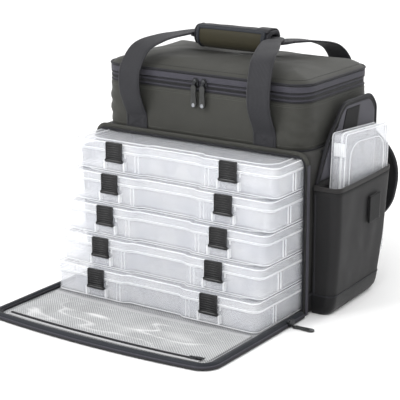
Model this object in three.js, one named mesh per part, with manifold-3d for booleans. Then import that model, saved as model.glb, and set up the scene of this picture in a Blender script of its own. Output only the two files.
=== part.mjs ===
// Fishing tackle backpack: a soft-sided pack whose lower half holds a stack of five
// clear tackle boxes behind a fold-down front flap, with a zipped compartment above,
// a pocket on each side and a two-strap carry handle under a rolled grip.
// Millimetres. +X is the wearer's left-hand side seen from the front (right in a front
// view), +Y points to the wearer's back, +Z is up. The origin is the middle of the
// base, on the ground. The flap lies open and the boxes are drawn part way out.

import * as THREE from 'three';
import { mergeVertices } from 'three/addons/utils/BufferGeometryUtils.js';
import Module from 'manifold-3d';

const wasm = await Module();
wasm.setup();

// ---- driving dimensions -------------------------------------------------------------

const gap = 0.3;                 // between two pieces that touch

// tackle boxes in the lower compartment
const boxCount = 5;
const boxWidth = 355;
const boxDepth = 190;
const boxHeight = 44.3;
const boxStackGap = 0.5;
const boxCorner = 15;
const boxWall = 2;
const trayInset = 2;             // the tray stands in under its lid's rim
const lidRim = 12.5;
const lowestBoxOut = 115;        // how far the lowest box is drawn out of the front
const boxOutStep = 12.2;         // each box above is drawn out this much less

// latches, which turn on a barrel near their lower end
const latchSpacing = 198;        // between the two on one box
const latchWidth = 30;
const latchLength = 30.5;
const smallLatchLength = 20;
const latchBarrel = 2.8;         // radius
const latchPlate = 3.4;
const latchStandOff = 1.6;       // plate in front of the lid's rim
const latchHook = 1.4;           // lip over the lid
const lugWidth = 3;
const lugClearance = 0.4;

// fabric shell
const wall = 4;                  // padded side, back and ceiling
const guardFloor = 1.5;
const guardWall = 2.5;
const guardHeight = 28;
const boardThickness = 2.2;
const boxSideClearance = 1.5;
const boxTopClearance = 1.7;
const boxBackClearance = 2;
const stowDepth = 8;             // lid front behind the frame's front when stowed
const frameDepth = 5;
const frameProud = 4;            // frame beyond the shell's sides
const frameCorner = 18;

// upper compartment
const upperInset = 9;            // narrower than the shell at each side
const upperSetBack = 8;
const upperHeight = 69;
const upperCorner = 30;
const upperFloor = 3;
const dividerThickness = 2.4;
const zipTapeHeight = 12;
const zipTapeInset = 0.5;
const lidBand = 12;
const lidCrown = 18;
const lidThickness = 5;

// front flap, lying on the ground
const flapOverlap = 6;           // the closed flap's edge above the frame
const flapProud = 1.5;           // wider than the frame at each side
const flapPanel = 3.4;
const bindingWidth = 9;
const bindingHeight = 9;
const flapCorner = 28;
const flapHingeHeight = 5;
const flapEdgeStart = 2;         // first fabric in front of the hinge line
const meshThickness = 3.3;
const meshSideInset = 18;
const meshLength = 112;
const meshFrontInset = 14;

// side pockets
const pocketLip = 182;
const pocketBaseOut = 33;        // how far the pocket stands out low down
const pocketLipOut = 41;
const pocketFront = -93;
const pocketRearLow = 76;
const pocketRearHigh = 93;
const pocketWall = 2.4;
const hemHeight = 5;
const hemWidth = 4;

// slim box in the right pocket
const smallWidth = 195;          // stands upright
const smallDepth = 134;
const smallHeight = 25;
const smallTilt = 3.5;           // degrees, leaning back
const smallTop = 255;
const smallMiddleY = 14;
const smallCorner = 9;
const smallRim = 7;

// pocket flaps
const flapFabric = 3;
const flapFoldHeight = 262;
const flapTipHeight = 297;

// carry handles
const webbing = 38;
const webbingThickness = 2.4;
const handleSpacing = 224;       // between the middles of a handle's two ends
const tabRise = 27.7;            // sewn to the upper compartment up to this height
const gripWidth = 20;            // webbing folded double in the grip
const gripThickness = 4;
const gripClearance = 22.8;      // middle of the two folded webbings above the lid
const gripY = 4;
const gripLift = 5.5;            // between the two webbings
const wrapLength = 127;
const wrapDepth = 34;
const wrapHeight = 29;
const wrapWall = 5.5;
const wrapSlit = 14;

// back
const backPadThickness = 10;
const backPadInset = 33;         // from the shell's sides
const shoulderWidth = 66;
const shoulderThickness = 11;
const strapWebbing = 25;
const strapWebbingThickness = 2;
const strapFootInset = 25.8;     // from the guard's sides
const strapFootClearance = 5;    // lower webbing's middle behind the guard

// zips
const sliderWidth = 11;
const sliderHeight = 14;
const sliderThickness = 5;
const pullerLength = 33;
const pullerWidth = 10;
const pullerThickness = 2.5;
const leftSliderX = -6;
const rightSliderX = 9;
const flapSliderAlong = 44;      // from the flap's hinge line

// ---- sizes that follow --------------------------------------------------------------

const boxPitch = boxHeight + boxStackGap;
const innerHalf = boxWidth / 2 + boxSideClearance;
const shellHalf = innerHalf + wall;
const boardTop = guardFloor + gap + boardThickness;
const boxFloor = boardTop + gap;
const ceiling = boxFloor + boxCount * boxPitch + boxTopClearance;
const shellTop = ceiling + wall;
const shellRearCorner = boxCorner + boxSideClearance + wall;  // clear of a stowed box
const depth = stowDepth + boxDepth + boxBackClearance + wall;
const frontY = -depth / 2;
const backY = depth / 2;
const frameHalf = shellHalf + frameProud;
const frameTop = shellTop + frameProud;
const guardHalf = shellHalf + gap + guardWall;
const upperHalf = shellHalf - upperInset;
const upperFront = frontY + upperSetBack;
const upperBottom = shellTop + gap;
const upperTop = upperBottom + upperHeight;
const lidBottom = upperTop + gap + zipTapeHeight + gap;
const flapLength = frameTop + flapOverlap;
const flapHalf = frameHalf + flapProud;
const flapHingeY = frontY - gap - (bindingHeight - flapHingeHeight);
const pocketInner = guardHalf + gap;
const handleHalf = handleSpacing / 2;
const tabTop = upperBottom + tabRise;
const gripHeight = lidBottom + lidBand + lidCrown + gripClearance;

// ---- materials ----------------------------------------------------------------------

function finish(color, roughness, metalness = 0) {
  return new THREE.MeshStandardMaterial({ color, roughness, metalness });
}

const canvas = finish(0x4b4c48, 0.75);
const rubberised = finish(0x262628, 0.6);
const strapping = finish(0x424248, 0.8);
const tape = finish(0x58575f, 0.7);
const mesh = finish(0xa8abb0, 0.9);
const clear = new THREE.MeshStandardMaterial(
  { color: 0xe1e6eb, roughness: 0.25, metalness: 0, transparent: true, opacity: 0.4 });
const latchPlastic = finish(0x232326, 0.4);
const zipMetal = finish(0x35363a, 0.35, 0.6);
const foam = finish(0x303134, 0.9);

// ---- shape helpers ------------------------------------------------------------------

/** Closed solid of a geometry, for cutting and joining. */
function solid(geometry) {
  const bare = geometry.clone();
  bare.deleteAttribute('normal');
  bare.deleteAttribute('uv');
  const merged = mergeVertices(bare, 1e-4);
  const body = new wasm.Mesh({
    numProp: 3,
    vertProperties: new Float32Array(merged.attributes.position.array),
    triVerts: new Uint32Array(merged.index.array),
  });
  return new wasm.Manifold(body);
}

/** Geometry of a solid. */
function geometryOf(body) {
  const surface = body.getMesh();
  const geometry = new THREE.BufferGeometry();
  geometry.setAttribute('position', new THREE.BufferAttribute(surface.vertProperties, 3));
  geometry.setIndex(new THREE.BufferAttribute(surface.triVerts, 1));
  geometry.computeVertexNormals();
  return geometry;
}

/** A straight-sided outline through the points given. */
function outline(points) {
  return new THREE.Shape(points.map(([x, y]) => new THREE.Vector2(x, y)));
}

/** A rectangle with a radius at each corner: low-left, low-right, high-right, high-left. */
function roundedRect(x0, y0, x1, y1, radii, steps = 5) {
  const [a, b, c, d] = Array.isArray(radii) ? radii : [radii, radii, radii, radii];
  const corners = [[x0 + a, y0 + a, a], [x1 - b, y0 + b, b], [x1 - c, y1 - c, c],
    [x0 + d, y1 - d, d]];
  const points = corners.flatMap(([x, y, radius], quarter) => {
    const count = radius > 0 ? steps : 0;
    return Array.from({ length: count + 1 }, (_, step) => {
      const angle = (quarter - 2 + step / Math.max(count, 1)) * Math.PI / 2;
      return [x + radius * Math.cos(angle), y + radius * Math.sin(angle)];
    });
  });
  return outline(points);
}

/** A shape extruded between two places along x, y or z. */
function prism(shape, axis, from, to) {
  const geometry = new THREE.ExtrudeGeometry(
    shape, { depth: to - from, bevelEnabled: false, curveSegments: 4 });
  if (axis === 'z') return geometry.translate(0, 0, from);
  if (axis === 'y') return geometry.rotateX(Math.PI / 2).translate(0, to, 0);
  const turn = new THREE.Matrix4().makeBasis(
    new THREE.Vector3(0, 1, 0), new THREE.Vector3(0, 0, 1), new THREE.Vector3(1, 0, 0));
  return geometry.applyMatrix4(turn).translate(from, 0, 0);
}

/** A plain block between two corners. */
function block(x0, y0, z0, x1, y1, z1) {
  return new THREE.BoxGeometry(x1 - x0, y1 - y0, z1 - z0)
    .translate((x0 + x1) / 2, (y0 + y1) / 2, (z0 + z1) / 2);
}

/** A closed skin through loops of equal length, capped at both ends. */
function loft(loops) {
  const count = loops[0].length;
  const positions = loops.flat().flatMap((point) => [point.x, point.y, point.z]);
  const faces = [];
  for (let i = 0; i < loops.length - 1; i += 1) {
    for (let j = 0; j < count; j += 1) {
      const k = (j + 1) % count;
      const a = i * count + j;
      const b = i * count + k;
      faces.push([a, b, b + count], [a, b + count, a + count]);
    }
  }
  const last = (loops.length - 1) * count;
  for (let j = 1; j < count - 1; j += 1) {
    faces.push([0, j + 1, j], [last, last + j, last + j + 1]);
  }
  const corner = (index) => new THREE.Vector3().fromArray(positions, 3 * index);
  const volume = faces.reduce(
    (sum, [a, b, c]) => sum + corner(a).dot(corner(b).cross(corner(c))), 0);
  const outward = volume < 0 ? faces.map(([a, b, c]) => [a, c, b]) : faces;
  const geometry = new THREE.BufferGeometry();
  geometry.setAttribute('position', new THREE.Float32BufferAttribute(positions, 3));
  geometry.setIndex(outward.flat());
  geometry.computeVertexNormals();
  return geometry;
}

/** A flat outline's points at one height. */
function loopAt(shape, z) {
  return shape.curves.map(({ v1 }) => new THREE.Vector3(v1.x, v1.y, z));
}

/** A strap: stations with a middle, a normal, a width and a thickness. */
function strap(stations) {
  return loft(stations.map(({ middle, along, normal, width, thickness }) => {
    const across = along.clone().cross(normal).normalize();
    const up = across.clone().cross(along).normalize();
    const at = (u, v) => middle.clone()
      .addScaledVector(across, u * width / 2)
      .addScaledVector(up, v * thickness / 2);
    return [at(-1, -1), at(1, -1), at(1, 1), at(-1, 1)];
  }));
}

const backpack = new THREE.Group();
backpack.name = 'tackle_backpack';

/** One named piece, added to a group. */
function piece(name, geometry, material, group = backpack) {
  const part = new THREE.Mesh(geometry, material);
  part.name = name;
  group.add(part);
  return part;
}

// ---- base and lower compartment -----------------------------------------------------

function addLowerCompartment() {
  const rear = [0, 0, shellRearCorner + guardWall, shellRearCorner + guardWall];
  const guardStart = frontY + frameDepth + gap;
  const guardBack = backY + gap + guardWall;
  const guard = solid(prism(roundedRect(-guardHalf, guardStart, guardHalf, guardBack, rear),
    'z', 0, guardHeight));
  const guardHollow = solid(prism(
    roundedRect(-shellHalf - gap, guardStart - 1, shellHalf + gap, backY + gap,
      [0, 0, shellRearCorner, shellRearCorner]),
    'z', guardFloor, guardHeight + 1));
  piece('base_guard', geometryOf(guard.subtract(guardHollow)), rubberised);

  const inner = [0, 0, shellRearCorner - wall, shellRearCorner - wall];
  piece('base_board', prism(
    roundedRect(-innerHalf + gap, guardStart, innerHalf - gap, backY - wall - gap, inner),
    'z', guardFloor + gap, boardTop), foam);

  const outer = solid(prism(
    roundedRect(-shellHalf, guardStart, shellHalf, backY,
      [0, 0, shellRearCorner, shellRearCorner]),
    'z', guardFloor + gap, shellTop));
  const hollow = solid(prism(
    roundedRect(-innerHalf, guardStart - 1, innerHalf, backY - wall, inner),
    'z', 0, ceiling));
  piece('lower_shell', geometryOf(outer.subtract(hollow)), canvas);

  const frameRing = roundedRect(-frameHalf, gap, frameHalf, frameTop, frameCorner);
  frameRing.holes.push(roundedRect(-innerHalf, boardTop, innerHalf, ceiling, 0));
  piece('front_frame', prism(frameRing, 'y', frontY, frontY + frameDepth), tape);
}

// ---- upper compartment and lid ------------------------------------------------------

function upperOutline(inset) {
  return roundedRect(-upperHalf + inset, upperFront + inset, upperHalf - inset,
    backY - inset, Math.max(upperCorner - inset, 6));
}

function addUpperCompartment() {
  let shell = solid(prism(upperOutline(0), 'z', upperBottom, upperTop));
  shell = shell.subtract(
    solid(prism(upperOutline(wall), 'z', upperBottom + upperFloor, upperTop + 1)));
  for (const x of [-handleHalf, handleHalf]) {
    for (const [y0, y1] of [[upperFront - webbingThickness, upperFront + 1],
      [backY - 1, backY + webbingThickness]]) {
      shell = shell.add(solid(
        block(x - webbing / 2, y0, upperBottom + 1, x + webbing / 2, y1, tabTop)));
    }
  }
  piece('upper_shell', geometryOf(shell), canvas);

  piece('divider_board', prism(upperOutline(wall + 1), 'z',
    upperBottom + upperFloor + gap, upperBottom + upperFloor + gap + dividerThickness), foam);

  const tapeRing = upperOutline(zipTapeInset);
  tapeRing.holes.push(upperOutline(wall));
  piece('top_zip_tape', prism(tapeRing, 'z', upperTop + gap, lidBottom - gap), tape);
}

/** Heights and insets of the domed lid, from its rim up. */
function lidLoops(inset, drop) {
  const rise = [[0, 0], [lidBand, 0], [lidBand + 2, 2], [lidBand + 8, 14],
    [lidBand + 13, 34], [lidBand + lidCrown - 1, 62], [lidBand + lidCrown, 84]];
  return rise.map(([up, inward], level) => loopAt(
    upperOutline(inset + inward), lidBottom + (level === 0 ? up - drop / 5 : up - drop)));
}

function addLid() {
  const dome = solid(loft(lidLoops(0, 0)));
  const underside = solid(loft(lidLoops(wall, lidThickness)));
  piece('top_lid', geometryOf(dome.subtract(underside)), canvas);
}

// ---- tackle boxes -------------------------------------------------------------------

/** A lidded box lying flat: x across its front, front at y = 0, floor at z = 0. */
function tackleBox(name, size, group) {
  const { width, depth: deep, height, corner, rim, latches } = size;
  const trayTop = height - rim - gap;
  const inset = trayInset;
  const trayHalf = width / 2 - inset;
  const traySides = roundedRect(-trayHalf, inset, trayHalf, deep - inset, corner - inset);
  const trayHollow = roundedRect(-trayHalf + boxWall, inset + boxWall, trayHalf - boxWall,
    deep - inset - boxWall, corner - inset - boxWall);
  let tray = solid(prism(traySides, 'z', 0, trayTop));
  tray = tray.subtract(solid(prism(trayHollow, 'z', boxWall, trayTop + 1)));
  const barrelY = -latchStandOff - latchPlate / 2;
  const barrelAt = (length) => height + latchHook + gap - length + latchBarrel;
  for (const { x, width: across, length } of latches) {
    const barrelZ = barrelAt(length);
    for (const side of [-1, 1]) {
      const start = x + side * (across / 2 + lugClearance);
      const end = start + side * lugWidth;
      tray = tray.add(solid(block(Math.min(start, end), barrelY - latchBarrel,
        barrelZ - latchBarrel, Math.max(start, end), inset + 1, Math.min(
          barrelZ + latchBarrel, trayTop))));
    }
  }
  piece(`${name}_tray`, geometryOf(tray), clear, group);

  const lidSides = roundedRect(-width / 2, 0, width / 2, deep, corner);
  const lidHollow = roundedRect(-width / 2 + boxWall, boxWall, width / 2 - boxWall,
    deep - boxWall, corner - boxWall);
  const lid = solid(prism(lidSides, 'z', height - rim, height, 4))
    .subtract(solid(prism(lidHollow, 'z', height - rim - 1, height - boxWall)));
  piece(`${name}_lid`, geometryOf(lid), clear, group);

  for (const { x, label, width: across, length } of latches) {
    piece(`${name}_latch${label}`, latch(x, across, barrelY, barrelAt(length), height),
      latchPlastic, group);
  }
}

/** A latch: round barrel below, ribbed plate, and a lip hooked over the lid. */
function latch(x, across, barrelY, barrelZ, lidTop) {
  const plateBack = barrelY + latchPlate / 2;
  const plateFront = barrelY - latchPlate / 2;
  const hookFloor = lidTop + gap;
  const hookTop = hookFloor + latchHook;
  const points = [];
  for (let step = 0; step <= 8; step += 1) {
    const angle = Math.PI * (0.78 + 1.44 * step / 8);
    points.push([barrelY + latchBarrel * Math.cos(angle),
      barrelZ + latchBarrel * Math.sin(angle)]);
  }
  points.push([plateBack, hookFloor], [1.2, hookFloor], [1.2, hookTop], [plateFront, hookTop]);
  const ribPitch = 5.5;
  const ribs = Math.floor((hookTop - barrelZ - 6) / ribPitch);
  for (let rib = 0; rib < ribs; rib += 1) {
    const top = hookTop - 3 - rib * ribPitch;
    points.push([plateFront, top], [plateFront - 1, top - 1.5], [plateFront, top - 3]);
  }
  return prism(outline(points), 'x', x - across / 2, x + across / 2);
}

function addTackleBoxes() {
  for (let index = 0; index < boxCount; index += 1) {
    const place = new THREE.Group();
    const out = lowestBoxOut - boxOutStep * index;
    place.position.set(0, frontY - out, boxFloor + boxPitch * index);
    backpack.add(place);
    const half = latchSpacing / 2;
    tackleBox(`box_${index + 1}`, {
      width: boxWidth, depth: boxDepth, height: boxHeight, corner: boxCorner, rim: lidRim,
      latches: [{ x: -half, label: '_left', width: latchWidth, length: latchLength },
        { x: half, label: '_right', width: latchWidth, length: latchLength }],
    }, place);
  }
}

/** The slim box stands on its side in the right pocket, its lid facing out. */
function addSmallBox() {
  const upright = new THREE.Matrix4().makeBasis(
    new THREE.Vector3(0, 0, -1), new THREE.Vector3(0, 1, 0), new THREE.Vector3(1, 0, 0));
  const stand = new THREE.Group();
  stand.setRotationFromMatrix(upright);
  stand.position.set(0, -smallDepth / 2, 0);
  const lean = new THREE.Group();
  lean.rotation.x = -THREE.MathUtils.degToRad(smallTilt);
  lean.position.set(pocketInner + 4.5, smallMiddleY,
    smallTop - smallWidth / 2 * Math.cos(THREE.MathUtils.degToRad(smallTilt)));
  lean.add(stand);
  backpack.add(lean);
  tackleBox('small_box', {
    width: smallWidth, depth: smallDepth, height: smallHeight, corner: smallCorner,
    rim: smallRim,
    latches: [{ x: -smallWidth / 2 + 24, label: '', width: 20, length: smallLatchLength }],
  }, stand);
}

// ---- front flap ---------------------------------------------------------------------

function addFrontFlap() {
  const rearY = flapHingeY - flapEdgeStart;
  const edgeY = flapHingeY - flapLength;
  const innerCorner = flapCorner - bindingWidth;
  const panelHalf = flapHalf - bindingWidth - gap;
  piece('front_flap_panel', prism(
    roundedRect(-panelHalf, edgeY + bindingWidth + gap, panelHalf, rearY,
      [innerCorner, innerCorner, 0, 0]),
    'z', 0, flapPanel), canvas);

  const band = solid(prism(
    roundedRect(-flapHalf, edgeY, flapHalf, rearY, [flapCorner, flapCorner, 0, 0]),
    'z', 0, bindingHeight));
  const within = solid(prism(
    roundedRect(-flapHalf + bindingWidth, edgeY + bindingWidth, flapHalf - bindingWidth,
      rearY + 1, [innerCorner, innerCorner, 0, 0]),
    'z', -1, bindingHeight + 1));
  piece('front_flap_binding', geometryOf(band.subtract(within)), tape);

  const meshHalf = flapHalf - meshSideInset;
  const meshEdge = edgeY + meshFrontInset;
  piece('mesh_pocket', prism(
    roundedRect(-meshHalf, meshEdge, meshHalf, meshEdge + meshLength,
      [innerCorner - 4, innerCorner - 4, 4, 4]),
    'z', flapPanel + gap, flapPanel + gap + meshThickness), mesh);

  const meshTop = flapPanel + 2 * gap + meshThickness;
  const meshSliderX = meshHalf - 20;
  piece('mesh_zip_slider', prism(
    roundedRect(meshSliderX - 7, meshEdge + 3, meshSliderX + 7, meshEdge + 12, 3),
    'z', meshTop, meshTop + 1.8), zipMetal);

  const sliderY = flapHingeY - flapSliderAlong;
  const sliderX = flapHalf + gap;
  piece('front_slider', prism(
    roundedRect(sliderY - sliderHeight / 2, 2, sliderY + sliderHeight / 2, 2 + sliderWidth / 2 + 3,
      2.5), 'x', sliderX, sliderX + sliderThickness), zipMetal);
  const pullerX = sliderX + sliderThickness + pullerThickness / 2 + gap;
  piece('front_puller', prism(
    roundedRect(pullerX, sliderY - pullerWidth / 2, pullerX + pullerLength,
      sliderY + pullerWidth / 2, 3), 'z', gap, gap + pullerThickness), rubberised);
}

// ---- side pockets -------------------------------------------------------------------

/** Plan of a pocket at one height: flat against the side, round at its outer corners. */
function pocketPlan(side, out, front, rear, inset) {
  const inner = pocketInner + inset;
  const outer = pocketInner + out - inset;
  const round = 14 - Math.min(inset, 4);
  const shape = side > 0
    ? roundedRect(inner, front + inset, outer, rear - inset, [1, round, round, 1])
    : roundedRect(-outer, front + inset, -inner, rear - inset, [round, 1, 1, round]);
  return shape;
}

/** Pocket levels: height, stand-out and rear edge. */
function pocketLevels() {
  const low = 0.45;
  return [
    [gap, pocketBaseOut - 7, pocketRearLow - 6],
    [12, pocketBaseOut, pocketRearLow],
    [pocketLip * low, pocketBaseOut + (pocketLipOut - pocketBaseOut) * 0.6,
      pocketRearLow + (pocketRearHigh - pocketRearLow) * low],
    [pocketLip, pocketLipOut, pocketRearHigh],
  ];
}

function addPocket(side, label) {
  const levels = pocketLevels();
  const outer = solid(loft(levels.map(([z, out, rear]) => loopAt(
    pocketPlan(side, out, pocketFront, rear, 0), z))));
  const hollow = solid(loft(levels.map(([z, out, rear], index) => loopAt(
    pocketPlan(side, out, pocketFront, rear, pocketWall),
    index === 0 ? z + pocketWall : z + (index === 3 ? 1 : 0)))));
  piece(`${label}_pocket`, geometryOf(outer.subtract(hollow)), canvas);

  const lip = solid(prism(
    pocketPlan(side, pocketLipOut + 1, pocketFront - 1, pocketRearHigh + 1, 0),
    'z', pocketLip + gap, pocketLip + gap + hemHeight));
  const mouth = solid(prism(
    pocketPlan(side, pocketLipOut + 1, pocketFront - 1, pocketRearHigh + 1, hemWidth),
    'z', pocketLip, pocketLip + 2 * hemHeight));
  piece(`${label}_pocket_hem`, geometryOf(lip.subtract(mouth)), tape);
}

/** Hook-and-loop patch on the right pocket's slanted outer face. */
function addPocketPatch() {
  const levels = pocketLevels();
  const [lowZ, lowOut] = levels[2];
  const [highZ, highOut] = levels[3];
  const at = (z) => pocketInner + lowOut
    + (highOut - lowOut) * (z - lowZ) / (highZ - lowZ) + gap;
  const [bottom, top] = [pocketLip - 65, pocketLip - 25];
  const loops = [bottom, top].map((z) => loopAt(
    roundedRect(at(z), 8, at(z) + 1.6, 44, 0), z));
  piece('right_pocket_patch', loft(loops), foam);
}

// ---- pocket flaps -------------------------------------------------------------------

function addRightPocketFlap() {
  const base = pocketLip + 2 * gap + hemHeight + 1;
  const frontAt = (z) => -78 + 54 * (z - base) / (flapTipHeight - base);
  const rearAt = (z) => 92 - 14 * (z - base) / (flapTipHeight - base);
  const x = pocketInner + gap;
  const fold = flapFoldHeight;
  piece('right_flap_back', prism(outline([[frontAt(base), base], [rearAt(base), base],
    [rearAt(fold), fold], [frontAt(fold), fold]]), 'x', x, x + flapFabric), canvas);

  const start = fold + gap;
  const tip = new THREE.Shape();
  const round = 13;
  tip.moveTo(frontAt(start), start);
  tip.lineTo(rearAt(start), start);
  tip.lineTo(rearAt(flapTipHeight), flapTipHeight - round);
  tip.absarc(rearAt(flapTipHeight) - round, flapTipHeight - round, round, 0, Math.PI / 2, false);
  tip.lineTo(frontAt(flapTipHeight) + round, flapTipHeight);
  tip.absarc(frontAt(flapTipHeight) + round, flapTipHeight - round, round,
    Math.PI / 2, Math.PI * 0.9, false);
  piece('right_flap_tip', prism(tip, 'x', x, x + flapFabric), canvas);
}

/** The left flap is closed: out over the pocket's mouth and down its face. */
function addLeftPocketFlap() {
  const inner = -pocketInner - gap;
  const outer = -(pocketInner + pocketLipOut + 2 * gap + 1.5);
  const over = pocketLip + hemHeight + 3 * gap;
  const root = over + 24;
  const hang = over - 58;
  const t = flapFabric;
  piece('left_flap', prism(outline([
    [inner, root], [inner - t, root], [inner - 14, over + t + 11], [outer - t + 5, over + t + 2],
    [outer - t, over + t - 2], [outer - t, hang], [outer, hang], [outer, over + 0.5],
    [outer + 5, over + 2], [inner - 12, over + 9], [inner, root - 9],
  ]), 'y', -76, 84), canvas);
}

// ---- carry handles ------------------------------------------------------------------

/**
 * One carry handle: webbing that rises from the two tabs of one face, bows out past
 * the lid's edge, and meets its other half along the grip. face is -1 in front, 1 behind.
 */
function handle(face) {
  const tabY = face < 0 ? upperFront : backY;
  const rootY = tabY + face * (1.5 * webbingThickness + gap);
  const height = gripHeight - face * gripLift / 2;
  const reach = Math.abs(gripY - rootY);
  const leg = (x, inward, z) => new THREE.Vector3(x, rootY - face * inward, z);
  const half = [
    [leg(handleHalf, 0, tabTop), [0, face, 0], 0],
    [leg(handleHalf, -8, tabTop + 14), [0, face, -0.5], 0],
    [leg(handleHalf, -15, tabTop + 32), [0, face, -0.1], 0],
    [leg(handleHalf, -16, tabTop + 52), [0, face, 0.15], 0],
    [leg(handleHalf - 1, -12, tabTop + 70), [0, face, 0.4], 0],
    [leg(handleHalf - 7, 6, height - 14), [0, face * 0.75, 1], 0.05],
    [leg(handleHalf - 19, reach * 0.38, height - 3.5), [0, face * 0.2, 1], 0.2],
    [leg(handleHalf - 34, reach * 0.72, height), [0, 0, 1], 0.5],
    [leg(wrapLength / 2 + 10, reach - 5, height), [0, 0, 1], 1],
    [leg(wrapLength / 2 + 2, reach, height), [0, 0, 1], 1],
    [leg(wrapLength / 4, reach, height), [0, 0, 1], 1],
  ];
  const mirrored = half.map(([point, normal, fold]) => [
    new THREE.Vector3(-point.x, point.y, point.z), normal, fold]);
  const route = [...half, ...mirrored.reverse()];
  const path = new THREE.CatmullRomCurve3(route.map(([point]) => point), false, 'centripetal');
  const steps = 3 * (route.length - 1);
  const stations = [];
  for (let step = 0; step <= steps; step += 1) {
    const t = step / steps;
    const place = t * (route.length - 1);
    const index = Math.min(Math.floor(place), route.length - 2);
    const mix = place - index;
    const blend = (a, b) => a + (b - a) * mix;
    const [, before, foldBefore] = route[index];
    const [, after, foldAfter] = route[index + 1];
    const fold = blend(foldBefore, foldAfter);
    stations.push({
      middle: path.getPoint(t),
      along: path.getTangent(t),
      normal: new THREE.Vector3(...before.map((value, axis) => blend(value, after[axis]))),
      width: webbing + (gripWidth - webbing) * fold,
      thickness: webbingThickness + (gripThickness - webbingThickness) * fold,
    });
  }
  return strap(stations);
}

/** Rolled grip pad: a padded sleeve, slit along its rear so the rear webbing can leave. */
function addGripWrap() {
  const [y0, y1] = [gripY - wrapDepth / 2, gripY + wrapDepth / 2];
  const [z0, z1] = [gripHeight - wrapHeight / 2, gripHeight + wrapHeight / 2];
  const ends = [-wrapLength / 2, wrapLength / 2];
  const sleeve = solid(prism(roundedRect(y0, z0, y1, z1, 12), 'x', ...ends));
  const bore = solid(prism(
    roundedRect(y0 + wrapWall, z0 + wrapWall, y1 - wrapWall + 1, z1 - wrapWall, 5),
    'x', ends[0] - 1, ends[1] + 1));
  const slitMiddle = gripHeight - gripLift / 2;
  const slit = solid(block(ends[0] - 1, gripY, slitMiddle - wrapSlit / 2,
    ends[1] + 1, y1 + 1, slitMiddle + wrapSlit / 2));
  piece('grip_wrap', geometryOf(sleeve.subtract(bore).subtract(slit)), canvas);
}

// ---- back and shoulder straps -------------------------------------------------------

function addBack() {
  const inner = backY + gap + guardWall + gap;
  const narrow = handleHalf - webbing / 2 - 5;
  const half = shellHalf - backPadInset;
  const [low, shoulder, neck, high] = [
    guardHeight + 6, shellTop - 8, shellTop + 6, shellTop + 52];
  piece('back_pad', prism(outline([[-half, low], [half, low], [half, shoulder],
    [narrow, neck], [narrow, high], [-narrow, high], [-narrow, neck], [-half, shoulder]]),
  'y', inner, inner + backPadThickness), foam);

  for (const [side, label] of [[-1, 'left'], [1, 'right']]) {
    const start = inner + backPadThickness + gap + shoulderThickness / 2 + 9;
    const route = [[48, 0, 12], [64, 18, 4], [104, 46, -28], [134, 57, -70],
      [142, 48, -112], [138, 32, -142]];
    const path = new THREE.CatmullRomCurve3(route.map(
      ([x, out, rise]) => new THREE.Vector3(side * x, start + out, shellTop + rise)));
    const stations = [];
    for (let step = 0; step <= 14; step += 1) {
      const t = step / 14;
      const along = path.getTangent(t);
      stations.push({
        middle: path.getPoint(t),
        along,
        normal: new THREE.Vector3(0.25 * side, 1, 0.25),
        width: shoulderWidth - 8 * t,
        thickness: shoulderThickness,
      });
    }
    piece(`shoulder_pad_${label}`, strap(stations), canvas);

    const end = path.getPoint(1);
    const lockTop = end.z - 6;
    const lock = solid(block(end.x - 17, end.y - 2.5, lockTop - 22, end.x + 17, end.y + 2.5,
      lockTop));
    const windows = [lockTop - 10, lockTop - 18].map((z) => solid(
      block(end.x - 13, end.y - 4, z, end.x + 13, end.y + 4, z + 5)));
    piece(`ladder_lock_${label}`, geometryOf(
      lock.subtract(windows[0]).subtract(windows[1])), latchPlastic);

    const foot = new THREE.Vector3(side * (guardHalf - strapFootInset),
      backY + 2 * gap + guardWall + strapFootClearance, guardHeight / 2);
    const leave = new THREE.Vector3(end.x, end.y, lockTop - 22 - gap);
    const below = leave.clone().setZ(leave.z - 9);
    const sag = below.clone().lerp(foot, 0.4);
    sag.y += 7;
    const drop = new THREE.CatmullRomCurve3([leave, below, sag, foot]);
    const lower = [];
    for (let step = 0; step <= 9; step += 1) {
      lower.push({
        middle: drop.getPoint(step / 9),
        along: drop.getTangent(step / 9),
        normal: new THREE.Vector3(0.1 * side, 1, 0.3),
        width: strapWebbing,
        thickness: strapWebbingThickness,
      });
    }
    piece(`lower_webbing_${label}`, strap(lower), strapping);
  }
}

// ---- top zip ------------------------------------------------------------------------

function addTopSliders() {
  const y1 = upperFront - gap;
  const y0 = y1 - sliderThickness;
  const middle = lidBottom - gap;
  for (const [x, label] of [[leftSliderX, 'left'], [rightSliderX, 'right']]) {
    piece(`top_slider_${label}`, prism(
      roundedRect(x - sliderWidth / 2, middle - sliderHeight / 2, x + sliderWidth / 2,
        middle + sliderHeight / 2, 3), 'y', y0, y1), zipMetal);
    const top = middle - sliderHeight / 2 + 4;
    piece(`top_puller_${label}`, prism(
      roundedRect(x - pullerWidth / 2, top - pullerLength, x + pullerWidth / 2, top, 3),
      'y', y0 - gap - pullerThickness, y0 - gap), rubberised);
  }
}

addLowerCompartment();
addUpperCompartment();
addLid();
addTackleBoxes();
addSmallBox();
addFrontFlap();
addPocket(1, 'right');
addPocket(-1, 'left');
addPocketPatch();
addRightPocketFlap();
addLeftPocketFlap();
piece('front_handle', handle(-1), strapping);
piece('rear_handle', handle(1), strapping);
addGripWrap();
addBack();
addTopSliders();

export default backpack;
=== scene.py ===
"""Fishing tackle backpack: fabric, clear boxes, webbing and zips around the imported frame.

Shapes are worked out in millimetres and turned into metres where a mesh is made.
"""
import math

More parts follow.
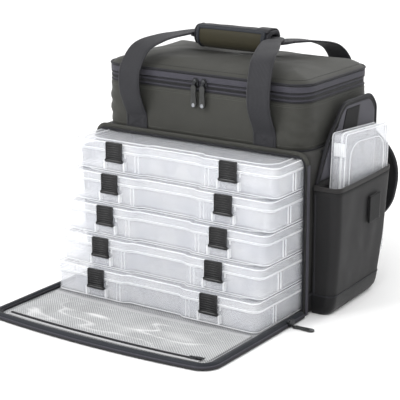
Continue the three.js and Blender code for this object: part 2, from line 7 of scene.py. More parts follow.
import bpy
import numpy as np
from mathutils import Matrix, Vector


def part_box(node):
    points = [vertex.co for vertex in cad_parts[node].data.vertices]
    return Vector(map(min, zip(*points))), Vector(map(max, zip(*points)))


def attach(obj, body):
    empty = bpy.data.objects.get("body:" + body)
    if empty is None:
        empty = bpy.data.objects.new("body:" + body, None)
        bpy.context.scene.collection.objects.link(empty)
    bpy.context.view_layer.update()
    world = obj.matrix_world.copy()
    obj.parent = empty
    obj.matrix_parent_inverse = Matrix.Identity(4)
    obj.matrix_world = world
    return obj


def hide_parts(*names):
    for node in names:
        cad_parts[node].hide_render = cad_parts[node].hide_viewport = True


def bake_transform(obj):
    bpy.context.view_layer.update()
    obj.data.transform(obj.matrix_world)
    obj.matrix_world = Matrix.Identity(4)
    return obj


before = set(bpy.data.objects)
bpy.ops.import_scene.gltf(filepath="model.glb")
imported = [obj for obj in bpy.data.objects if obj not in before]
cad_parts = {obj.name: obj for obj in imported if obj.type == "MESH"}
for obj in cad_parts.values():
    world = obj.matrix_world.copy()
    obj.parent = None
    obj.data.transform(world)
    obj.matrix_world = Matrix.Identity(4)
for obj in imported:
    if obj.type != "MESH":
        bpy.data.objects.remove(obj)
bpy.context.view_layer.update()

MM = 0.001
TAU = 2 * math.pi
BOX_COUNT = 5
X, Y, Z = np.eye(3)


def box_mm(node):
    """A frame node's low and high corners in millimetres."""
    low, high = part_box(node)
    return np.array(low) / MM, np.array(high) / MM


# ---- camera, floor and light --------------------------------------------------------


def aim(yaw, pitch, roll):
    """Euler angles of a camera that looks along yaw, down by pitch, turned by roll."""
    return (math.radians(90 - pitch), math.radians(roll), math.radians(yaw))


def add_camera():
    """The view from the front right, a little above the pack."""
    data = bpy.data.cameras.new("view_camera")
    data.lens = 130.8
    data.sensor_width = 36
    camera = bpy.data.objects.new("view_camera", data)
    camera.location = (1.16507, -1.78824, 0.719)
    camera.rotation_euler = aim(34.45, 15.71, 0.23)
    bpy.context.collection.objects.link(camera)
    bpy.context.scene.camera = camera


def add_lamp(name, place, target, size, power):
    """A square soft lamp that faces its target: yaw and pitch from the direction."""
    data = bpy.data.lights.new(name, "AREA")
    data.shape = "SQUARE"
    data.size = size
    data.energy = power
    lamp = bpy.data.objects.new(name, data)
    lamp.location = place
    direction = np.array(target) - np.array(place)
    yaw = math.atan2(-direction[0], direction[1])
    pitch = math.atan2(-direction[2], math.hypot(direction[0], direction[1]))
    lamp.rotation_euler = (math.pi / 2 - pitch, 0, yaw)
    bpy.context.collection.objects.link(lamp)


def add_studio():
    """White surroundings, three soft lamps and a pale paper floor just under the pack."""
    scene = bpy.context.scene
    world = bpy.data.worlds.new("studio")
    world.use_nodes = True
    background = world.node_tree.nodes["Background"]
    background.inputs["Color"].default_value = (1, 1, 1, 1)
    background.inputs["Strength"].default_value = 1.0
    scene.world = world
    scene.view_settings.view_transform = "Standard"
    scene.cycles.transparent_max_bounces = 64
    add_lamp("key", (-1.4, -2.2, 2.4), (0, 0, 0.1), 1.6, 60)
    add_lamp("fill", (0.9, -2.7, 1.5), (0, 0, 0.12), 1.8, 26)
    add_lamp("rim", (0.6, 2.4, 2.2), (0, 0, 0.2), 1.6, 30)
    mesh = bpy.data.meshes.new("floor")
    reach, level = 14, -0.0004
    corners = [(-reach, -reach), (reach, -reach), (reach, reach), (-reach, reach)]
    mesh.from_pydata([(x, y, level) for x, y in corners], [], [(0, 1, 2, 3)])
    floor = bpy.data.objects.new("floor", mesh)
    paper = bpy.data.materials.new("studio_paper")
    paper.use_nodes = True
    shader = paper.node_tree.nodes["Principled BSDF"]
    shader.inputs["Base Color"].default_value = (0.93, 0.93, 0.93, 1)
    shader.inputs["Roughness"].default_value = 0.95
    mesh.materials.append(paper)
    bpy.context.collection.objects.link(floor)


# ---- finishes -----------------------------------------------------------------------


def srgb(red, green, blue):
    """A colour from 0 to 255 as linear light."""
    channels = np.array([red, green, blue]) / 255
    linear = np.where(channels <= 0.04045, channels / 12.92, ((channels + 0.055) / 1.055) ** 2.4)
    return (*linear.tolist(), 1)


class Finish:
    """A material being put together: a shader, and helpers that add nodes to it."""

    def __init__(self, name, roughness=0.7, **sockets):
        self.material = bpy.data.materials.new(name)
        self.material.use_nodes = True
        self.tree = self.material.node_tree
        self.shader = self.tree.nodes["Principled BSDF"]
        self.shader.inputs["Roughness"].default_value = roughness
        for socket, value in sockets.items():
            self.shader.inputs[socket.replace("_", " ")].default_value = value
        self.coordinates = self.tree.nodes.new("ShaderNodeTexCoord").outputs["Object"]

    def node(self, kind, inputs=None, **settings):
        """Adds a node: an input is linked if it is another node's output, and set if not."""
        made = self.tree.nodes.new(kind)
        for key, value in settings.items():
            setattr(made, key, value)
        for key, value in (inputs or {}).items():
            if isinstance(value, bpy.types.NodeSocket):
                self.tree.links.new(value, made.inputs[key])
            else:
                made.inputs[key].default_value = value
        return made

    def on_uv(self):
        """From here on the patterns follow the piece's own UV map."""
        self.coordinates = self.node("ShaderNodeUVMap", uv_map="along").outputs["UV"]
        return self

    def scaled(self, factors, turn=(0, 0, 0)):
        """The coordinates stretched and turned."""
        return self.node("ShaderNodeMapping", {
            "Vector": self.coordinates, "Rotation": turn, "Scale": factors}).outputs["Vector"]

    def noise(self, scale, detail=3, roughness=0.55):
        return self.node("ShaderNodeTexNoise", {
            "Vector": self.coordinates, "Scale": scale, "Detail": detail,
            "Roughness": roughness}).outputs["Fac"]

    def ramp(self, value, stops):
        """Maps a value to colours through (place, colour) stops."""
        made = self.node("ShaderNodeValToRGB", {"Fac": value})
        ramp = made.color_ramp
        while len(ramp.elements) < len(stops):
            ramp.elements.new(0.5)
        for element, (place, color) in zip(ramp.elements, stops):
            element.position = place
            element.color = color
        return made.outputs["Color"]

    def math(self, operation, first, second=0.0):
        return self.node("ShaderNodeMath", {0: first, 1: second}, operation=operation).outputs[0]

    def mix(self, factor, first, second, blend="MIX"):
        made = self.node("ShaderNodeMix", data_type="RGBA", blend_type=blend)
        for index, value in ((0, factor), (6, first), (7, second)):
            if isinstance(value, bpy.types.NodeSocket):
                self.tree.links.new(value, made.inputs[index])
            else:
                made.inputs[index].default_value = value
        return made.outputs[2]

    def bump(self, height, strength, distance):
        return self.node("ShaderNodeBump", {
            "Height": height, "Strength": strength, "Distance": distance}).outputs["Normal"]

    def wave(self, scale, direction, vector=None):
        """Straight sine bands across one direction."""
        return self.node("ShaderNodeTexWave", {
            "Vector": vector or self.coordinates, "Scale": scale, "Distortion": 0.0},
            wave_type="BANDS", bands_direction=direction, wave_profile="SIN").outputs["Fac"]

    def link(self, socket, value):
        self.tree.links.new(value, self.shader.inputs[socket])
        return self

    def color(self, value):
        return self.link("Base Color", value)

    def normal(self, value):
        return self.link("Normal", value)


def band_scale(period):
    """The Wave texture's scale for bands this many metres apart."""
    return TAU / 20 / period


def grey(level):
    """The same level in all three channels, for a ramp that drives a mask or a number."""
    return (level, level, level, 1)


def fabric(name, base, worn, weave=0.0011, sheen=0.06, roughness=0.62, mottle=16):
    """Coated woven cloth: mottled colour, crossing weave bands and fine grain."""
    finish = Finish(name, roughness, Sheen_Weight=sheen, Sheen_Roughness=0.5,
                    Specular_IOR_Level=0.22)
    broad = finish.noise(mottle, 4, 0.6)
    grain = finish.noise(1500, 2, 0.6)
    tone = finish.ramp(broad, [(0.32, base), (0.72, worn)])
    dark = tuple(0.72 * channel for channel in base[:3]) + (1,)
    finish.color(finish.mix(finish.ramp(grain, [(0.35, grey(0)), (0.75, grey(1))]), tone, dark))
    turned = finish.scaled((1, 1, 1), (0.7, 0.6, 0.8))
    over = finish.wave(band_scale(weave), "X", turned)
    under = finish.wave(band_scale(weave), "Z", turned)
    cloth = finish.math("MULTIPLY", over, under)
    relief = finish.math("ADD", finish.math("MULTIPLY", cloth, 0.5),
                         finish.math("MULTIPLY", grain, 0.7))
    finish.normal(finish.bump(relief, 0.5, 0.0004))
    finish.link("Roughness", finish.ramp(broad, [(0.3, grey(roughness - 0.06)),
                                                 (0.8, grey(roughness + 0.1))]))
    return finish.material


def ribbed(name, base, light, rib=0.0021, pick=0.0016, roughness=0.66):
    """Woven webbing or tape on the piece's own UV map: ribs along it, picks across it."""
    finish = Finish(name, roughness, Sheen_Weight=0.08, Sheen_Roughness=0.4,
                    Specular_IOR_Level=0.25).on_uv()
    ribs = finish.wave(band_scale(rib), "X")
    picks = finish.wave(band_scale(pick), "Y")
    twill = finish.math("MULTIPLY", ribs, picks)
    fuzz = finish.noise(900, 2)
    tone = finish.ramp(twill, [(0.05, base), (0.75, light)])
    worn = finish.ramp(finish.noise(45, 3), [(0.3, grey(0)), (0.8, grey(0.5))])
    finish.color(finish.mix(worn, tone, base))
    relief = finish.math("ADD", twill, finish.math("MULTIPLY", fuzz, 0.4))
    finish.normal(finish.bump(relief, 0.7, 0.0005))
    return finish.material


def net(name, thread, hole, pitch=0.0029, roughness=0.8):
    """Diamond netting on the UV map: light threads cross over a darker lining, and a painted
    highlight whitens the cloth where it rises high in its own z.
    """
    finish = Finish(name, roughness, Sheen_Weight=0.2, Sheen_Roughness=0.5).on_uv()
    turned = finish.scaled((1, 1, 1), (0, 0, math.radians(45)))
    along = finish.wave(band_scale(pitch), "X", turned)
    across = finish.wave(band_scale(pitch), "Y", turned)
    threads = finish.math("MAXIMUM", along, across)
    cover = finish.ramp(threads, [(0.62, grey(0)), (0.86, grey(1))])
    shade = finish.ramp(finish.noise(22, 3), [(0.3, grey(0.8)), (0.7, grey(1))])
    # painted highlight: the colour goes towards white where the net stands high in its own z, on
    # the crests of its creases and ridges
    place = finish.node("ShaderNodeTexCoord").outputs["Object"]
    rise = finish.node("ShaderNodeSeparateXYZ", {"Vector": place}).outputs["Z"]
    crest = finish.node("ShaderNodeMapRange", {
        "Value": rise, "From Min": 0.0052, "From Max": 0.0068, "To Max": 0.8}).outputs[0]
    woven = finish.mix(1.0, finish.mix(cover, hole, thread), shade, "MULTIPLY")
    finish.color(finish.mix(crest, woven, srgb(232, 232, 232)))
    finish.normal(finish.bump(threads, 0.6, 0.0006))
    return finish.material


def moulded(name, base, roughness=0.35, grain=0.35, alpha=1.0, haze=None, **sockets):
    """Moulded plastic or rubber: faint flow marks in colour, fine grain in the surface."""
    finish = Finish(name, roughness, **sockets)
    flow = finish.noise(30, 3)
    light = haze or tuple(min(1.3 * channel, 1) for channel in base[:3]) + (1,)
    finish.color(finish.ramp(flow, [(0.35, base), (0.75, light)]))
    finish.normal(finish.bump(finish.noise(1800, 2), grain, 0.0002))
    finish.link("Roughness", finish.ramp(finish.noise(60, 2), [
        (0.3, grey(roughness * 0.85)), (0.7, grey(roughness * 1.2))]))
    if alpha < 1:
        finish.shader.inputs["Alpha"].default_value = alpha
        finish.material.surface_render_method = "BLENDED"
    return finish.material


def make_finishes():
    """Every finish of the pack by its short name."""
    return {
        "canvas": fabric("coated_canvas", srgb(54, 54, 50), srgb(64, 64, 60)),
        "side": fabric("side_canvas", srgb(42, 42, 40), srgb(52, 51, 49)),
        "pocket": fabric("pocket_canvas", srgb(25, 25, 26), srgb(34, 33, 34)),
        "boot": fabric("black_boot", srgb(12, 12, 14), srgb(19, 19, 21), roughness=0.5),
        "lining": fabric("grey_lining", srgb(70, 69, 76), srgb(86, 85, 92), 0.0013),
        "inside": fabric("dark_lining", srgb(34, 34, 37), srgb(44, 44, 47)),
        "olive": fabric("olive_panel", srgb(42, 39, 25), srgb(53, 49, 33)),
        "piping": fabric("piping", srgb(27, 27, 31), srgb(40, 40, 45), 0.0009),
        "binding": fabric("flap_binding", srgb(30, 33, 39), srgb(42, 45, 52), 0.0012),
        "webbing": ribbed("woven_webbing", srgb(34, 34, 37), srgb(58, 58, 62)),
        "tape": ribbed("zip_tape", srgb(56, 55, 62), srgb(78, 77, 86), 0.0013, 0.0013),
        "hem": ribbed("hem_tape", srgb(36, 35, 35), srgb(56, 54, 54), 0.0012, 0.0012),
        "coil": moulded("zip_coil", srgb(20, 20, 23), 0.4),
        "net": net("pocket_net", srgb(196, 197, 198), srgb(118, 120, 122)),
        "lining_net": net("lining_net", srgb(168, 169, 171), srgb(104, 105, 108)),
        "net_edge": ribbed("net_binding", srgb(168, 168, 170), srgb(196, 196, 198)),
        "velcro": fabric("hook_loop", srgb(8, 8, 9), srgb(18, 18, 20), 0.0016, 0.1, 0.9),
        "foam": fabric("air_mesh", srgb(20, 21, 23), srgb(38, 39, 42), 0.0032, 0.2, 0.85),
        "thread": fabric("thread", srgb(84, 84, 80), srgb(104, 104, 98), 0.0006),
        "dark_thread": fabric("dark_thread", srgb(26, 26, 28), srgb(40, 40, 43), 0.0006),
        "latch": moulded("latch_plastic", srgb(15, 15, 17), 0.34),
        "buckle": moulded("buckle_plastic", srgb(14, 14, 16), 0.4),
        "slider": moulded("slider_enamel", srgb(40, 41, 43), 0.3, 0.1, Metallic=0.6),
        "puller": moulded("puller_rubber", srgb(34, 35, 34), 0.45),
        "tip": moulded("puller_tip", srgb(132, 134, 138), 0.3, 0.1, Metallic=0.7),
        "clear": moulded("clear_plastic", srgb(232, 234, 240), 0.22, 0.03, 0.27,
                         srgb(250, 251, 253)),
        # whiter and more opaque copy of the clear plastic for beads, posts and snaps: partly
        # their thicker plastic, partly a painted highlight for their bright edges and ridges
        "clear_painted_highlight": moulded("clear_painted_highlight", srgb(246, 248, 250), 0.22, 0.03, 0.4,
                              srgb(253, 253, 254)),
        "clear_rib": moulded("clear_rib", srgb(236, 239, 245), 0.3, 0.03, 0.12,
                             srgb(248, 249, 252)),
    }


finishes = make_finishes()


# ---- surfaces -----------------------------------------------------------------------


def unit(vectors):
    """Vectors divided by their own lengths."""
    return vectors / np.maximum(np.linalg.norm(vectors, axis=-1, keepdims=True), 1e-12)


def smooth(value):
    """Zero below 0, one above 1, and a cubic ease between."""
    value = np.clip(value, 0, 1)
    return value * value * (3 - 2 * value)


def ripple(points, size, seed):
    """Smooth noise near -1 to 1: the mean of twelve sine waves of seeded direction."""
    random = np.random.default_rng(seed)
    directions = unit(random.normal(size=(12, 3)))
    pace = TAU / size * random.uniform(0.6, 1.6, 12)
    start = random.uniform(0, TAU, 12)
    return np.sin(points @ (directions * pace[:, None]).T + start).mean(-1) * 2.2


def loft(rings, closed=False, caps=True):
    """Skin over an (n, m, 3) array of closed rings: quads between neighbours, and a fan
    to the mean point at each end, or a last ring joined to the first if closed."""
    count, around = rings.shape[:2]
    index = np.arange(count * around).reshape(count, around)
    low = index if closed else index[:-1]
    high = np.roll(index, -1, 0) if closed else index[1:]
    quads = np.stack([low, np.roll(low, -1, 1), np.roll(high, -1, 1), high], -1).reshape(-1, 4)
    points = rings.reshape(-1, 3)
    if closed or not caps:
        return points, [quads]
    centres = np.array([rings[0].mean(0), rings[-1].mean(0)])
    first, last = index[0], index[-1]
    start = np.full(around, len(points))
    fans = np.concatenate([
        np.stack([start, np.roll(first, -1), first], -1),
        np.stack([start + 1, last, np.roll(last, -1)], -1)])
    return np.concatenate([points, centres]), [quads, fans]


def wall(outer, inner, wrap=False):
    """A closed wall between two (n, m, 3) grids: quads over the outer one, turned quads
    over the inner one, and strips that close the borders. A wrapped grid is a ring."""
    count, width = outer.shape[:2]
    index = np.arange(count * width).reshape(count, width)
    shift = count * width
    used = np.concatenate([index, index[:, :1]], 1) if wrap else index
    quads = np.stack([used[:-1, :-1], used[:-1, 1:], used[1:, 1:], used[1:, :-1]], -1)
    quads = quads.reshape(-1, 4)
    edges = [used[0], used[-1][::-1]]
    if not wrap:
        edges += [index[:, -1], index[:, 0][::-1]]
    rims = [np.stack([edge[:-1], edge[:-1] + shift, edge[1:] + shift, edge[1:]], -1)
            for edge in edges]
    return np.concatenate([outer.reshape(-1, 3), inner.reshape(-1, 3)]), [
        np.concatenate([quads, quads[:, ::-1] + shift, *rims])]


def thick(grid, thickness, wrap=False):
    """A closed wall on a grid: the grid, and its copy moved against the normals, which are
    the cross products of the steps across and along it, by the thickness."""
    along = np.gradient(grid, axis=0)
    if wrap:
        across = (np.roll(grid, -1, 1) - np.roll(grid, 1, 1)) / 2
    else:
        across = np.gradient(grid, axis=1)
    return wall(grid, grid - unit(np.cross(across, along)) * thickness, wrap)


def spline(points, count, closed=False):
    """A Catmull-Rom curve through the points, resampled to count even steps."""
    points = np.asarray(points, float)
    if closed:
        padded = np.concatenate([points[-1:], points, points[:2]])
    else:
        padded = np.concatenate([2 * points[:1] - points[1:2], points,
                                 2 * points[-1:] - points[-2:-1]])
    t = np.linspace(0, 1, 24, endpoint=False)[:, None, None]
    a, b, c, d = (padded[i:len(padded) - 3 + i] for i in range(4))
    curve = 0.5 * (2 * b + (c - a) * t + (2 * a - 5 * b + 4 * c - d) * t ** 2
                   + (3 * b - a - 3 * c + d) * t ** 3)
    curve = curve.transpose(1, 0, 2).reshape(-1, points.shape[1])
    curve = np.concatenate([curve, padded[-2][None]])
    return resample(curve, count, closed)


def resample(curve, count, closed=False):
    """Even steps along a polyline, measured on its first three columns; a closed one
    leaves out the repeated last point."""
    steps = np.linalg.norm(np.diff(curve[:, :3], axis=0), axis=1)
    run = np.concatenate([[0], np.cumsum(steps)])
    places = np.linspace(0, run[-1], count + 1 if closed else count)
    made = np.stack([np.interp(places, run, curve[:, k]) for k in range(curve.shape[1])], -1)
    return made[:-1] if closed else made


def frames(path, up, closed=False):
    """Tangent, side and top vectors along a path, the top one nearest to up."""
    if closed:
        tangent = unit(np.roll(path, -1, 0) - np.roll(path, 1, 0))
    else:
        tangent = unit(np.gradient(path, axis=0))
    side = unit(np.cross(tangent, np.broadcast_to(up, path.shape)))
    return tangent, side, np.cross(side, tangent)


def sweep(path, profile, up=(0, 0, 1), closed=False):
    """Carries a closed (side, top) profile along a path. Gives points, faces and a UV of
    the profile's side place and the path's length, in metres."""
    path = np.asarray(path, float)
    _, side, top = frames(path, up, closed)
    profile = np.broadcast_to(profile, (len(path), *np.shape(profile)[-2:]))
    rings = (path[:, None] + side[:, None] * profile[..., :1] + top[:, None] * profile[..., 1:])
    points, faces = loft(rings, closed)
    run = np.concatenate([[0], np.cumsum(np.linalg.norm(np.diff(path, axis=0), axis=1))])
    uv = np.stack([profile[..., 0], np.broadcast_to(run[:, None], profile.shape[:2])], -1)
    uv = uv.reshape(-1, 2)
    if len(points) > len(uv):
        uv = np.concatenate([uv, [[0, run[0]], [0, run[-1]]]])
    return points, faces, uv * MM


def round_profile(width, height, radius, steps=3):
    """A rounded rectangle as (side, top) points, widest along side."""
    return outline(width / 2, height / 2, min(radius, width / 2, height / 2) - 1e-3, steps)


def disc(radius, count=10):
    """A circle as (side, top) points."""
    angles = np.arange(count) * TAU / count
    return np.stack([radius * np.cos(angles), radius * np.sin(angles)], -1)


def outline(half_x, half_y, radius, steps=6, side_x=1, side_y=1):
    """Counter-clockwise rounded rectangle about the middle: corner arcs, with evenly
    spaced points along the sides between them."""
    radius = np.broadcast_to(radius, 4)
    signs = [(-1, -1), (1, -1), (1, 1), (-1, 1)]
    arcs = []
    for quarter, ((sx, sy), r) in enumerate(zip(signs, radius)):
        angle = (quarter - 2 + np.linspace(0, 1, steps + 1)) * math.pi / 2
        arcs.append(np.stack([sx * (half_x - r) + r * np.cos(angle),
                              sy * (half_y - r) + r * np.sin(angle)], -1))
    points = []
    for quarter, arc in enumerate(arcs):
        points.append(arc)
        count = side_x if quarter % 2 == 0 else side_y
        following = arcs[(quarter + 1) % 4][0]
        inner = np.linspace(arc[-1], following, count + 1)[1:-1]
        points.append(inner)
    return np.concatenate(points)


def plan(low, high, inset=0.0, radius=20.0, steps=7, side_x=24, side_y=14):
    """A rounded-rectangle plan between two corners, drawn in by inset."""
    middle = (np.array(low[:2]) + np.array(high[:2])) / 2
    half = (np.array(high[:2]) - np.array(low[:2])) / 2 - inset
    return outline(half[0], half[1], max(radius - inset, 1.0), steps, side_x, side_y) + middle


def at_height(loop, z):
    """A flat (x, y) loop lifted to z."""
    return np.concatenate([loop, np.broadcast_to(z, len(loop))[:, None]], -1)


def slabs(low, high, bevel=0.4):
    """Boxes between low and high corners, every edge cut by a bevel: each of the eight
    corners gives three points, the k-th moved in by the bevel along the two other axes.
    Six faces, twelve edge strips and eight corner cuts join them."""
    low, high = np.atleast_2d(np.asarray(low, float)), np.atleast_2d(np.asarray(high, float))
    bevel = np.minimum(bevel, (high - low).min(1) * 0.45)[:, None, None]
    signs = np.array([(x, y, z) for x in (-1, 1) for y in (-1, 1) for z in (-1, 1)], float)
    half = (high - low)[:, None] / 2
    corner = signs * half
    points = np.stack([corner - signs * bevel * (1 - np.eye(3)[k]) for k in range(3)], 2)
    points = (points + ((high + low) / 2)[:, None, None]).reshape(len(low), -1, 3)
    first_of = {tuple(s): 3 * i for i, s in enumerate(signs.astype(int))}
    square = ((-1, -1), (1, -1), (1, 1), (-1, 1))
    quads = []
    for axis in range(3):
        a, b = [k for k in range(3) if k != axis]

        def corner_at(s, u, v):
            """First point of the corner at a side of this axis and of the two others."""
            key = [0, 0, 0]
            key[axis], key[a], key[b] = s, u, v
            return first_of[tuple(key)]

        for s in (-1, 1):
            quads.append([corner_at(s, u, v) + axis for u, v in square])
        for u, v in square:
            near, far = corner_at(-1, u, v), corner_at(1, u, v)
            quads.append([near + a, near + b, far + b, far + a])
    tris = np.arange(24).reshape(8, 3)
    sample = points[0] - points[0].mean(0)

    def facing(rows):
        """Rows of corners, turned over where their normal points inwards."""
        rows = np.array(rows)
        normal = np.cross(sample[rows[:, 1]] - sample[rows[:, 0]],
                          sample[rows[:, 2]] - sample[rows[:, 0]])
        inward = (normal * sample[rows].mean(1)).sum(1) < 0
        rows[inward] = rows[inward][:, ::-1]
        return rows

    shift = (np.arange(len(low)) * 24)[:, None, None]
    return points.reshape(-1, 3), [(facing(quads)[None] + shift).reshape(-1, 4),
                                   (facing(tris)[None] + shift).reshape(-1, 3)]


def join(*parts):
    """Several (points, faces) shapes as one."""
    points, faces, shift = [], [], 0
    for part in parts:
        points.append(part[0])
        faces += [face + shift for face in part[1]]
        shift += len(part[0])
    return np.concatenate(points), faces


def stitches(path, up, pitch, length, radius, closed=False):
    """Stitches a pitch apart along a path: each a four-sided capsule of ten points, a
    point, two rings of four and a point, lying along the tangent."""
    both = np.concatenate([path, np.broadcast_to(up, path.shape)], 1)
    if closed:
        both = np.concatenate([both, both[:1]])
    total = np.linalg.norm(np.diff(both[:, :3], axis=0), axis=1).sum()
    count = max(int(total / pitch), 2)
    both = resample(both, count, closed)
    places = both[:, :3]
    tangent, side, top = frames(places, both[:, 3:], closed)
    ring = np.array([(1, 0), (0, 1), (-1, 0), (0, -1)]) * radius
    point = np.zeros((1, 2))
    points = np.concatenate([
        (places + tangent * share * length)[:, None] + side[:, None] * shape[:, :1]
        + top[:, None] * shape[:, 1:]
        for share, shape in ((-0.5, point), (-0.36, ring), (0.36, ring), (0.5, point))], 1)
    k = np.arange(4)
    n = (k + 1) % 4
    tris = np.concatenate([np.stack([0 * k, 1 + n, 1 + k], -1),
                           np.stack([9 + 0 * k, 5 + k, 5 + n], -1)])
    quads = np.stack([1 + k, 1 + n, 5 + n, 5 + k], -1)
    shift = (np.arange(count) * 10)[:, None, None]
    return points.reshape(-1, 3), [(tris + shift).reshape(-1, 3), (quads + shift).reshape(-1, 4)]


def sew(name, path, up, size, body, thread="dark_thread", closed=False):
    """A row of stitches as a piece; size is their pitch, length and radius."""
    return piece(name, stitches(path, up, *size, closed), thread, body)


def volume(points, faces):
    """Six times the signed volume of the skin about its mean point."""
    points = points - points.mean(0)
    total = 0.0
    for rows in faces:
        for k in range(1, rows.shape[1] - 1):
            a, b, c = points[rows[:, 0]], points[rows[:, k]], points[rows[:, k + 1]]
            total += (a * np.cross(b, c)).sum()
    return total


def piece(name, shape, finish, body, uv=None, flat=False):
    """A named piece from points in millimetres, in one of the finishes, its faces turned
    outwards. It rides on the body, or on no body when body is None."""
    points, faces = shape[0], shape[1]
    if len(shape) > 2 and uv is None:
        uv = shape[2]
    if volume(points, faces) < 0:
        faces = [rows[:, ::-1] for rows in faces]
    mesh = bpy.data.meshes.new(name)
    loops = np.concatenate([rows.reshape(-1) for rows in faces]).astype(np.int32)
    sizes = np.concatenate([np.full(len(rows), rows.shape[1]) for rows in faces])
    starts = np.concatenate([[0], np.cumsum(sizes)[:-1]]).astype(np.int32)
    mesh.vertices.add(len(points))
    mesh.vertices.foreach_set("co", (points * MM).astype(np.float32).ravel())
    mesh.loops.add(len(loops))
    mesh.loops.foreach_set("vertex_index", loops)
    mesh.polygons.add(len(starts))
    mesh.polygons.foreach_set("loop_start", starts)
    mesh.polygons.foreach_set("use_smooth", np.full(len(starts), not flat))
    mesh.update(calc_edges=True)
    if uv is not None:
        layer = mesh.uv_layers.new(name="along")
        layer.data.foreach_set("uv", uv[loops].astype(np.float32).ravel())
    mesh.materials.append(finishes[finish])
    made = bpy.data.objects.new(name, mesh)
    bpy.context.collection.objects.link(made)
    if body:
        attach(made, body)
    return made


def dress(node, finish):
    """Gives a frame node that stays in view one of the finishes."""
    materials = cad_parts[node].data.materials
    materials.clear()
    materials.append(finishes[finish])


def strap_profile(width, thickness):
    """Flat webbing's section with soft edges, its middle a little thinner."""
    half, rim = width / 2, thickness / 2
    across = np.array([-1, -0.94, -0.6, -0.2, 0.2, 0.6, 0.94, 1]) * half
    height = np.array([0.35, 1, 0.86, 0.86, 0.86, 0.86, 1, 0.35]) * rim
    return np.concatenate([np.stack([across, -height], -1), np.stack([across, height], -1)[::-1]])


# ---- measures taken from the frame --------------------------------------------------

shell_low, shell_high = box_mm("lower_shell")
guard_low, guard_high = box_mm("base_guard")
flange_low, flange_high = box_mm("front_frame")
lid_low, lid_high = box_mm("top_lid")
tape_low, tape_high = box_mm("top_zip_tape")
tab_top = box_mm("front_handle")[0][2] + 0.6
WEBBING = 38.0
TAB_X = 112.0


# ---- lower compartment --------------------------------------------------------------


def u_path(half, front, back, radius, side=18, rear=26, steps=7):
    """Plan of three walls: from the front right, round the back, to the front left."""
    corner = np.linspace(0, math.pi / 2, steps + 1)
    right = np.stack([np.full(side, half), np.linspace(front, back - radius, side)], -1)
    arc = np.stack([half - radius + radius * np.cos(corner),
                    back - radius + radius * np.sin(corner)], -1)
    row = np.stack([np.linspace(half - radius, -half + radius, rear), np.full(rear, back)], -1)
    other = arc[::-1] * (-1, 1)
    left = right[::-1] * (-1, 1)
    return np.concatenate([right, arc[1:], row[1:-1], other, left[1:]])


def walled(half, front, back, radius, levels, bulge, size, seed):
    """Three walls as a grid: each level gives a height and an inset; the walls swell by
    bulge at mid height and are creased by smooth noise. An inset of None is the floor:
    the plan drawn to 94% about its middle."""
    rows = []
    top = max(z for z, _ in levels)
    low = min(z for z, _ in levels)
    base = u_path(half, front, back, radius)
    centre = np.array([0, (front + back) / 2])
    edge = np.append(np.diff(base, axis=0), [[0, -1]], 0)
    normal = unit(np.stack([edge[:, 1], -edge[:, 0]], -1))
    normal = unit(normal + np.roll(normal, 1, 0))
    normal[0], normal[-1] = (1, 0), (-1, 0)
    for z, inset in levels:
        if inset is None:
            loop = centre + (base - centre) * 0.94
        else:
            share = (z - low) / max(top - low, 1)
            swell = bulge * math.sin(math.pi * share) if inset == 0 else 0
            loop = base + normal * (swell - inset)
        rows.append(at_height(loop, z))
    grid = np.array(rows)
    fade = np.sin(np.pi * np.clip((grid[..., 2] - low) / max(top - low, 1), 0, 1)) ** 0.6
    shift = ripple(grid * (1, 1, 0.7), size, seed) * fade * min(bulge, 1.2) * 0.6
    grid[..., :2] += normal[None] * shift[..., None]
    return grid


def add_lower_compartment():
    """The box compartment: three creased walls that turn in over the top by an arc and
    run on as a ceiling, with a welt and stitch rows, and the black boot round its base."""
    radius = 20.5
    half, back, top = shell_high
    front = shell_low[1]
    wall_rows, bend = 26, 8
    levels = [(guard_high[2] + 0.4 + share * (top - bend - guard_high[2]), 0)
              for share in np.linspace(0, 1, wall_rows)]
    turn = [(top - bend + bend * math.sin(a), bend - bend * math.cos(a))
            for a in np.linspace(0.26, math.pi / 2, 6)]
    grid = walled(half, front, back, radius, levels + turn, 1.4, 70, 3)
    # the ceiling: the top edge drawn in, share by share, to a line across the middle
    shelf = []
    last = grid[-1]
    for share in (0.1, 0.3, 0.6, 0.97):
        ring = last.copy()
        ring[:, 0] *= 1 - share
        ring[:, 1] += ((front + back) / 2 - ring[:, 1]) * share * 0.9
        ring[0, 1] = ring[-1, 1] = front
        shelf.append(ring)
    grid = np.concatenate([grid, shelf])
    shell = piece("body_shell", thick(grid, 3.2), "side", "pack")
    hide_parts("lower_shell")

    edge = grid[wall_rows:wall_rows + 3].mean(0)[4:-4]
    seam = spline(edge + (0, 0, 1.6), 260)
    piece("body_top_welt", sweep(seam, disc(1.9, 8)), "piping", "pack")
    for name, index, drop in (("body_top_stitch", 22, 0), ("body_low_stitch", 1, 2)):
        line = spline(grid[index] + (0, 0, drop), 400)
        away = unit(line * (1, 1, 0) - (0, (front + back) / 2, 0))
        line = line + away * 0.35
        sew(name, line, away, (4.2, 2.8, 0.35), "pack")

    # black boot round the base
    upright, rise = 5.5, guard_high[2]
    levels = [(0.15, None), (0.15, 6), (0.9, 2.6), (2.6, 0.8), (upright, 0)]
    levels += [(upright + (rise - upright) * share, 0) for share in np.linspace(0.15, 1, 9)]
    grid = walled(guard_high[0], guard_low[1], guard_high[1], radius + 2.6, levels, 0.4, 60, 5)
    boot = piece("base_boot", thick(grid, 1.8), "boot", "pack")
    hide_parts("base_guard")
    hem = grid[-1] + (0, 0, 0.4)
    away = unit(hem * (1, 1, 0) - (0, (front + back) / 2, 0))
    piece("base_boot_hem", sweep(spline(hem, 240), round_profile(2.4, 3.4, 1.1)),
          "piping", "pack")
    line = spline(grid[-3] + away * 0.3, 400)
    sew("base_boot_stitch", line, unit(line * (X + Y)), (4.2, 2.8, 0.35), "pack")


